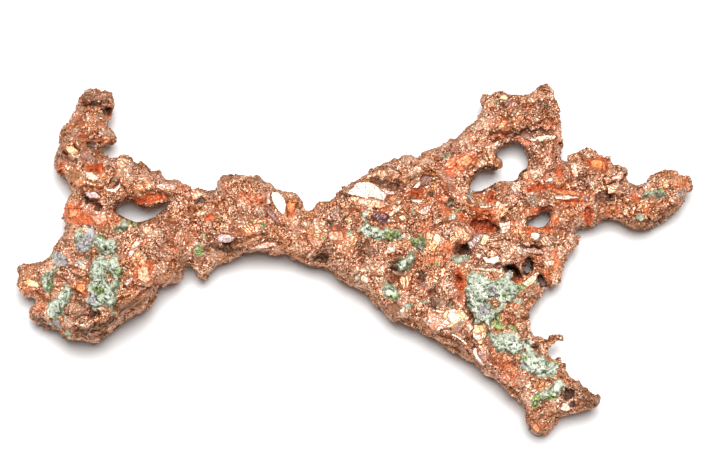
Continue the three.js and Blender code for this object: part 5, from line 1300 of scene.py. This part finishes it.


# %% [markdown]
# Copper's own colour is a salmon pink. The finish reads the marks left on the vertices: hollows
# take a painted orange red glow for bounced light, red places a red stain, walls and back rims a
# painted brown shade, and crystal faces their painted tones of light. Below the size of the mesh,
# every grain still has its own slope, so a fine Voronoi texture turns the normal a little, one way
# for each cell, and paints one cell cream as a highlight and the next brown as shade. That painted
# highlight and shade, with the turned normals, is the sparkle.

# %% Copper finish
CRYSTAL_SIZE = 2.0 * MM  # patches that share one course of growth steps
STEP_SIZE = 0.55 * MM
SUGAR_SIZE = 0.31 * MM  # the finest grains


def new_material(name):
    material = bpy.data.materials.new(name)
    material.use_nodes = True
    tree = Tree(material.node_tree)
    for node in list(material.node_tree.nodes):
        material.node_tree.nodes.remove(node)
    shader = tree.add("ShaderNodeBsdfPrincipled")
    output = tree.add("ShaderNodeOutputMaterial")
    tree.tree.links.new(shader.outputs[0], output.inputs["Surface"])
    return material, tree, shader


def mixed(tree, factor, first, second):
    """A colour between two, by a factor from 0 to 1."""
    node = tree.add("ShaderNodeMix", {"data_type": "RGBA", "clamp_factor": True})
    colours = [s for s in node.inputs if s.enabled]
    for socket, value in zip(colours, (factor, first, second)):
        if isinstance(value, Value):
            tree.tree.links.new(value.socket, socket)
        else:
            socket.default_value = value
    return Value(tree, next(s for s in node.outputs if s.enabled))


def attribute(tree, name):
    return Value(tree, tree.add("ShaderNodeAttribute", {"attribute_name": name}).outputs["Fac"])


def new_noise(tree, place):
    """A noise of any grain size in millimetres, from 0 to 1."""

    def noise(size, detail=3.0, roughness=0.6):
        scale = 1 / (size * MM)
        node = tree.add(
            "ShaderNodeTexNoise", Vector=place, Scale=scale, Detail=detail, Roughness=roughness
        )
        return Value(tree, node.outputs[0])

    return noise


def rock_colour(tree, noise, pick):
    """The crust: pale grey green, mottled, darker at its rim, with leaf green and cloudy quartz,
    and painted black shade in its pits.
    """
    stone, pale_stone = (0.52, 0.57, 0.44, 1), (0.76, 0.80, 0.67, 1)
    dark_fleck, light_fleck = (0.24, 0.28, 0.18, 1), (0.90, 0.93, 0.84, 1)
    rind_green, pit_shade_black = (0.15, 0.17, 0.05, 1), (0.10, 0.10, 0.05, 1)
    deep_leaf, bright_leaf = (0.09, 0.13, 0.018, 1), (0.43, 0.54, 0.09, 1)
    milk, smoke = (0.58, 0.52, 0.53, 1), (0.22, 0.18, 0.20, 1)
    mottle = noise(0.7, 4.0, 0.7)
    colour = mixed(tree, noise(2.4).between(0.42, 0.58), stone, pale_stone)
    colour = mixed(tree, mottle.between(0.56, 0.68) * 0.6, colour, dark_fleck)
    colour = mixed(tree, (1 - mottle).between(0.52, 0.64) * 0.6, colour, light_fleck)
    rind = (1 - attribute(tree, "crust").between(0.1, 0.7)) * noise(0.9).between(0.38, 0.52)
    colour = mixed(tree, rind * 0.75, colour, rind_green)
    moss = mixed(tree, pick.between(0.3, 0.7), deep_leaf, bright_leaf)
    leafy = (attribute(tree, "leaf") + (noise(0.6, 4.0, 0.7) - 0.5) * 1.4).between(-0.02, 0.12)
    colour = mixed(tree, leafy * 0.8, colour, moss)
    quartz = mixed(tree, mottle.between(0.4, 0.6), milk, smoke)
    cloudy = (attribute(tree, "glass") + (noise(0.9) - 0.5) * 0.8).between(-0.02, 0.12)
    colour = mixed(tree, cloudy * 0.85, colour, quartz)
    # painted black shade in the crust's pits
    return mixed(tree, attribute(tree, "pit").between(0.01, 0.10) * 0.85, colour, pit_shade_black)


def crystal_steps(tree, place, noise):
    """Growth steps, from 0 to 1, that turn from one crystal to the next, and a draw per crystal."""
    wander = tree.add("ShaderNodeTexNoise", Vector=place, Scale=0.6 / MM)
    drift = tree.vector("SCALE", Value(tree, wander.outputs["Color"]), scale=1.0 * MM)
    crystals = cells_of(tree, tree.vector("ADD", place, drift), CRYSTAL_SIZE)
    chance = Value(tree, crystals.outputs["Color"])
    course = tree.vector("NORMALIZE", tree.vector("SUBTRACT", chance, (0.5, 0.5, 0.5)))
    along = tree.vector("DOT_PRODUCT", course, place, out=1)
    wave = tree.math("SINE", along * (2 * math.pi / STEP_SIZE) + noise(1.1) * 14.0)
    draw = tree.vector("DOT_PRODUCT", chance, (1.0, 0.0, 0.0), out=1)
    second = tree.vector("DOT_PRODUCT", chance, (0.0, 1.0, 0.0), out=1)
    return wave * 0.5 + 0.5, draw, second


def copper_finish():
    material, tree, shader = new_material("grown_copper")
    place = Value(tree, tree.add("ShaderNodeTexCoord").outputs["Object"])
    hollow = attribute(tree, "hollow")
    red = attribute(tree, "red")
    polish = attribute(tree, "polish")
    painted = attribute(tree, "painted")

    noise = new_noise(tree, place)
    cells = cells_of(tree, place, SUGAR_SIZE)
    chance = Value(tree, cells.outputs["Color"])
    dome = 1 - Value(tree, cells.outputs["Distance"])
    pick = tree.vector("DOT_PRODUCT", chance, (0.5, 0.3, 0.2), out=1)
    steps, draw, second = crystal_steps(tree, place, noise)
    plate = draw.between(0.60, 0.64)
    sugar = (1 - polish * 0.9) * (1 - red * 0.4) * (1 - plate * 0.65) * (1 - painted * 0.55)
    sugar = sugar.clamp()
    height = dome * sugar * 0.6 + steps * 0.4
    bump = tree.add("ShaderNodeBump", Height=height, Strength=0.8, Distance=0.2 * MM)
    lean = tree.vector("SUBTRACT", chance, (0.5, 0.5, 0.5))
    tilted = tree.vector("SCALE", lean, scale=0.30 * sugar)
    normal = tree.vector("NORMALIZE", tree.vector("ADD", Value(tree, bump.outputs[0]), tilted))

    pink = (0.99, 0.55, 0.405, 1)
    salmon = (0.97, 0.44, 0.225, 1)
    mauve = (0.64, 0.42, 0.38, 1)
    orange = (0.88, 0.215, 0.065, 1)
    rust = (0.36, 0.065, 0.018, 1)
    brown = (0.40, 0.15, 0.055, 1)
    olive = (0.48, 0.34, 0.17, 1)
    shade_umber = (0.11, 0.038, 0.014, 1)
    shade_black = (0.035, 0.014, 0.008, 1)
    cream = (1.0, 0.73, 0.55, 1)

    # the ground colour, in broad clouds
    colour = mixed(tree, noise(5.0).between(0.38, 0.62), salmon, pink)
    # polished blocks take a painted mauve reflection
    painted_reflection = attribute(tree, "tint").between(0.6, 0.62) * polish.between(0.2, 0.6)
    colour = mixed(tree, painted_reflection * 0.8, colour, mauve)
    colour = mixed(tree, noise(3.2).between(0.56, 0.70) * 0.35, colour, orange)
    colour = mixed(tree, attribute(tree, "shade").between(0.9, 0.91) * 0.35, colour, orange)
    colour = mixed(tree, noise(2.4, 4.0).between(0.60, 0.72) * 0.6 * (1 - polish), colour, olive)

    # plates, grains and growth steps: painted highlights in cream where they catch the light,
    # painted shade in brown where they miss it
    colour = mixed(tree, plate * second.between(0.60, 0.64) * 0.8, colour, cream)
    colour = mixed(tree, plate * (1 - second).between(0.66, 0.70) * 0.6, colour, brown)
    colour = mixed(tree, pick.between(0.50, 0.61) * sugar * 0.82, colour, cream)
    colour = mixed(tree, (1 - pick).between(0.56, 0.68) * sugar * 0.75, colour, brown)
    step_lines = (1 - steps).between(0.70, 0.95) * (1 - painted * 0.6)
    colour = mixed(tree, step_lines * 0.6, colour, brown)

    # the painted tones of light of the crystal faces and creases, the painted orange glow of the
    # hollows, and the red stains
    paint_node = tree.add("ShaderNodeAttribute", {"attribute_name": "paint"})
    cover = painted.between(0.3, 0.9) * (0.50 + 0.45 * noise(0.5))
    colour = mixed(tree, cover, colour, Value(tree, paint_node.outputs["Color"]))
    # hollows get a painted orange glow for light bounced from copper to copper, with dust; red
    # places add their red stain
    deep = (hollow.between(0.15, 0.9) * 0.35 + red * (0.65 + 0.5 * noise(0.8))).clamp()
    colour = mixed(tree, (1 - painted) * deep, colour, orange)
    rusty = red * noise(0.6).between(0.50, 0.64) * 0.6
    rusty = rusty + red * hollow.between(0.2, 1.0) + red.between(1.0, 1.4) * 0.7
    colour = mixed(tree, rusty.clamp(), colour, rust)

    # painted brown shade on walls, back rims, pits and the gaps between grains, painted shade along
    # the rims of faces, and painted black shade in pockets, slits and grooves
    painted_brown_shade = attribute(tree, "wall") * (0.25 + 0.6 * noise(0.9).between(0.4, 0.6))
    painted_brown_shade = painted_brown_shade + attribute(tree, "pit").between(0.02, 0.14) * 0.45
    painted_brown_shade = painted_brown_shade + (1 - dome).between(0.45, 0.75) * sugar * 0.45
    painted_brown_shade = painted_brown_shade + attribute(tree, "rim") * (0.1 + 0.6 * noise(1.2))
    painted_brown_shade = painted_brown_shade.clamp() * (1 - polish * 0.6) * (1 - red * 0.7).clamp()
    colour = mixed(tree, painted_brown_shade, colour, brown)
    colour = mixed(tree, (1 - dome).between(0.52, 0.76) * sugar * 0.9, colour, shade_umber)
    # a thin painted shade along the rim of each face
    edge = painted.between(0.05, 0.4) * (1 - painted.between(0.4, 0.9))
    colour = mixed(tree, edge * 0.7, colour, shade_umber)
    # painted black shade in pockets, slits and grooves
    stain_and_shade = attribute(tree, "painted_shade") * (0.55 + 0.6 * noise(0.7))
    colour = mixed(tree, stain_and_shade * 0.9, colour, shade_black)

    spread = attribute(tree, "crust") + (noise(1.0, 4.0, 0.7) - 0.5) * 0.9
    mineral = spread.between(-0.02, 0.06)
    colour = mixed(tree, mineral, colour, rock_colour(tree, noise, pick))

    tree.feed(shader, "Base Color", colour)
    tree.feed(shader, "Metallic", (0.68 - 0.3 * red) * (1 - mineral))
    gloss = 0.44 - polish * 0.06 + painted * 0.06 + (pick - 0.5) * 0.10 * sugar
    tree.feed(shader, "Roughness", (gloss + mineral * 0.3 + stain_and_shade * 0.2).clamp())
    tree.feed(shader, "Normal", normal)
    return material


COPPER = copper_finish()
print("made", COPPER.name, "with", len(COPPER.node_tree.nodes), "nodes")

# %% [markdown]
# Each copper piece is subdivided once, so that its squares are 0.2 mm, and then grown. A fan of
# triangles closes each parted edge inside the metal. Nothing may sink below the surface that the
# nugget lies on, so vertices that would are held at it.

# %% Grow the copper
GRAIN = grain_tree()
GRAIN_ROUNDS = 4  # of smoothing, for the skin that the gaps between grains are measured from


def close_parted_edges(mesh):
    work = bmesh.new()
    work.from_mesh(mesh)
    open_edges = [edge for edge in work.edges if edge.is_boundary]
    bmesh.ops.holes_fill(work, edges=open_edges, sides=0)
    bmesh.ops.triangulate(work, faces=[f for f in work.faces if len(f.verts) > 4])
    work.to_mesh(mesh)
    work.free()


def unwrap(piece):
    """A bake map made while the skin is still smooth and coarse."""
    piece.data.uv_layers.new(name="OFBake")
    bpy.context.view_layer.objects.active = piece
    for other in bpy.context.selected_objects:
        other.select_set(False)
    piece.select_set(True)
    bpy.ops.object.mode_set(mode="EDIT")
    bpy.ops.mesh.select_all(action="SELECT")
    bpy.ops.uv.smart_project(angle_limit=math.radians(66), island_margin=0.002)
    bpy.ops.object.mode_set(mode="OBJECT")
    piece.select_set(False)


def finer(piece):
    """Halves the squares of the skin, and lays the faces, the red stains and the painted black
    shade on it with crisp rims.
    """
    halve = piece.modifiers.new("finer", "SUBSURF")
    halve.subdivision_type = "SIMPLE"
    halve.levels = 1
    halve.render_levels = 1
    mesh = frozen(piece)
    outward = vectors_of(mesh.attributes["outward"].data, "vector")
    points, polish, paint, painted = press_faces(points_of(mesh), outward, PLANES, FINE_EDGE)
    red = marks(RED_PLACES, points, outward, RED_EDGE)
    painted_shade = marks(SHADE_PLACES, points, outward, SHADE_EDGE)
    x, y = page(points)
    for _, stain_and_shade, outline in PITS:
        within = ramp(-0.2, 0.1, depth_inside(outline, x, y)) * (points[:, 2] > 1.0 * MM)
        if stain_and_shade == "painted_shade":
            painted_shade = np.maximum(painted_shade, within)
        else:
            red = np.maximum(red, 1.5 * within)
    points = crease(points, outward, paint, painted, painted_shade)
    set_points(mesh, points)
    crust, leaf, glass = crusted(points)
    crust = np.where(outward[:, 2] > -0.1, crust, -1.0)
    named = {"polish": polish, "paint": paint, "painted": painted, "red": red, "painted_shade": painted_shade}
    named.update({"crust": crust, "leaf": leaf, "glass": glass})
    for name, values in named.items():
        set_value(mesh, name, values)
    return mesh


def grow(piece):
    grain = piece.modifiers.new("grain", "NODES")
    grain.node_group = GRAIN
    set_inputs(grain, GRAIN_SIZES)
    mesh = frozen(piece)
    points = clear_openings(points_of(mesh))
    points[:, 2] = np.maximum(points[:, 2], 0.0)
    set_points(mesh, points)
    smooth = neighbour_average(mesh, points, GRAIN_ROUNDS)
    pit = ((smooth - points) * normals_of(mesh)).sum(1) / MM
    set_value(mesh, "pit", np.clip(pit, -1, 1))
    close_parted_edges(mesh)
    mesh.polygons.foreach_set("use_smooth", np.zeros(len(mesh.polygons), bool))
    return mesh


for node, piece in copper.items():
    unwrap(piece)
    finer(piece)
    mesh = grow(piece)
    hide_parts(node)
    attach(piece, "root")
    print(piece.name, len(mesh.loops) - 2 * len(mesh.polygons), "triangles")

# %% [markdown]
# The crusts are what is left of the rock around the copper: pale grey-green, grainy and dull,
# with specks of bright green and of clear quartz.

# %% Crusts
CRUST_GRAIN = 0.45 * MM
CRUST_GROW = 0.3 * MM
CRUST_STEP = 0.22 * MM
CRUST_ROUNDS = 6  # of smoothing
CRUST_SINK = 1.4 * MM  # how far a crust sinks into the copper where it has run out on the page
CRUMBLE_SIZES = {"Lump": 1.9 * MM, "Rise": 0.26 * MM, "Sink": 0.15 * MM}


def crust_finish(name, roughness):
    material, tree, shader = new_material(name)
    place = Value(tree, tree.add("ShaderNodeTexCoord").outputs["Object"])
    chance = Value(tree, cells_of(tree, place, CRUST_GRAIN).outputs["Color"])
    pick = tree.vector("DOT_PRODUCT", chance, (0.5, 0.3, 0.2), out=1)
    tree.feed(shader, "Base Color", rock_colour(tree, new_noise(tree, place), pick))
    lean = tree.vector("SUBTRACT", chance, (0.5, 0.5, 0.5))
    lean = tree.vector("SCALE", lean, scale=0.5)
    straight = Value(tree, tree.add("ShaderNodeNewGeometry").outputs["Normal"])
    tree.feed(shader, "Normal", tree.vector("NORMALIZE", tree.vector("ADD", straight, lean)))
    shader.inputs["Roughness"].default_value = roughness
    return material


CRUST_LOOKS = {
    "pale_crust": crust_finish("pale_rock", 0.6),
    "green_crust": crust_finish("green_rock", 0.55),
    "quartz": crust_finish("cloudy_quartz", 0.35),
}
SLOT_OF = {row["node"]: row["material_slot"] for row in frame["record"]["subparts"]}


def crumble_tree():
    tree, given, made = new_geometry_tree("crumbled crust", CRUMBLE_SIZES)
    place = Value(tree, tree.add("GeometryNodeInputPosition").outputs[0])
    outward = Value(tree, tree.add("GeometryNodeInputNormal").outputs[0])
    lump = Value(tree, given.outputs["Lump"])
    rise = Value(tree, given.outputs["Rise"])
    swell = tree.add("ShaderNodeTexNoise", Vector=place, Scale=1.0 / lump, Detail=3.0)
    height = (Value(tree, swell.outputs[0]) - 0.5) * rise * 4.0 - Value(tree, given.outputs["Sink"])
    height = height + crystal_layer(tree, place, lump * 0.6, 0.7, rise * 0.3)[0]
    height = height + crystal_layer(tree, place, lump * 0.25, 0.7, rise * 0.2)[0]
    moved = tree.add(
        "GeometryNodeSetPosition",
        Geometry=given.outputs["Geometry"],
        Offset=tree.vector("SCALE", outward, scale=height),
    )
    solid = tree.add("GeometryNodeRealizeInstances", Geometry=moved.outputs[0])
    finish = tree.add("GeometryNodeSetMaterial", Geometry=solid.outputs[0])
    tree.feed(made, "Geometry", finish.outputs[0])
    return tree.tree


CRUMBLE = crumble_tree()
for node in CRUST_NODES:
    piece = show("rough_" + node, joined_copy([node], CRUST_GROW))
    add_remesh(piece, CRUST_STEP)
    crumble = piece.modifiers.new("crumble", "NODES")
    crumble.node_group = CRUMBLE
    set_inputs(crumble, CRUMBLE_SIZES)
    mesh = frozen(piece)
    mesh.materials.clear()
    mesh.materials.append(CRUST_LOOKS[SLOT_OF[node]])
    mesh.polygons.foreach_set("material_index", np.zeros(len(mesh.polygons), np.int32))
    points = points_of(mesh)
    smooth = neighbour_average(mesh, points, CRUST_ROUNDS)
    set_value(mesh, "pit", ((smooth - points) * normals_of(mesh)).sum(1) / MM)
    crust, leaf, glass = crusted(points)
    points[:, 2] -= (1 - ramp(-0.3, 0.2, crust)) * CRUST_SINK
    points[:, 2] = np.maximum(points[:, 2], 0.0)
    set_points(mesh, points)
    for name, values in (("crust", crust), ("leaf", leaf), ("glass", glass)):
        set_value(mesh, name, values)
    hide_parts(node)
    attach(piece, "root")
    print(piece.name, len(mesh.polygons), "faces")

# %% [markdown]
# The nugget lies on a white table under a broad soft light that hangs a little behind it, so its
# shadow falls to the front. A low white wall some metres away closes the view along the table.
# The camera stands a metre off with a long lens and looks down on the nugget.

# %% Table, light and camera
TABLE_REACH = 30.0
WALL_RADIUS, WALL_HEIGHT = 5.0, 0.8
LENS, HALF_SENSOR = 300.0, 18.0
VIEW_WIDTH = 128.7273 * MM
VIEW_MIDDLE = (-0.1, 4.33)  # on the page


def studio_piece(name, work, **settings):
    """A matt white thing of the studio, which isn't part of the nugget."""
    mesh = bpy.data.meshes.new(name)
    work.to_mesh(mesh)
    work.free()
    material, _, shader = new_material("white_" + name)
    shader.inputs["Base Color"].default_value = (0.9, 0.9, 0.9, 1)
    shader.inputs["Roughness"].default_value = 0.9
    for setting, value in settings.items():
        shader.inputs[setting.replace("_", " ")].default_value = value
    mesh.materials.append(material)
    return show(name, mesh)


def white_table():
    work = bmesh.new()
    bmesh.ops.create_grid(work, x_segments=1, y_segments=1, size=TABLE_REACH)
    table = studio_piece("table", work, Specular_IOR_Level=0.0)


def white_wall():
    """A low glowing ring round the table, so that a level view meets white and not the dark."""
    work = bmesh.new()
    radii = {"radius1": WALL_RADIUS, "radius2": WALL_RADIUS}
    bmesh.ops.create_cone(work, cap_ends=False, segments=64, depth=WALL_HEIGHT, **radii)
    wall = studio_piece("wall", work, Emission_Color=(1.0, 1.0, 1.0, 1), Emission_Strength=1.0)


def soft_light(name, kind, place, power, **settings):
    """A wide soft light that faces the middle of the table."""
    data = bpy.data.lights.new(name, kind)
    data.energy = power
    for setting, value in settings.items():
        setattr(data, setting, value)
    light = bpy.data.objects.new(name, data)
    light.location = place
    light.rotation_euler = (-Vector(place)).to_track_quat("-Z", "Y").to_euler()
    light.visible_camera = False
    bpy.context.scene.collection.objects.link(light)


white_table()
white_wall()
soft_light("sky_panel", "AREA", (0.0, 0.05, 0.85), 0.7, shape="DISK", size=1.2)
soft_light("key_light", "SUN", (0.02, 0.06, 0.80), 4.4, angle=math.radians(33))

world = bpy.data.worlds.new("studio")
world.use_nodes = True
background = world.node_tree.nodes["Background"]
background.inputs["Color"].default_value = (0.80, 1.0, 0.97, 1)
background.inputs["Strength"].default_value = 0.05
bpy.context.scene.world = world
bpy.context.scene.view_settings.view_transform = "Standard"

distance = VIEW_WIDTH / 2 / (HALF_SENSOR / LENS)
camera_data = bpy.data.cameras.new("camera")
camera_data.lens = LENS
camera_data.clip_end = 100
camera = bpy.data.objects.new("camera", camera_data)
target = line_of_sight(*VIEW_MIDDLE, PAGE_LEVEL)
back = Vector((0, -math.sin(LEAN), math.cos(LEAN)))
camera.location = target + back * distance
camera.rotation_euler = back.to_track_quat("Z", "Y").to_euler()
bpy.context.scene.collection.objects.link(camera)
bpy.context.scene.camera = camera
print("camera", [round(v, 3) for v in camera.location])
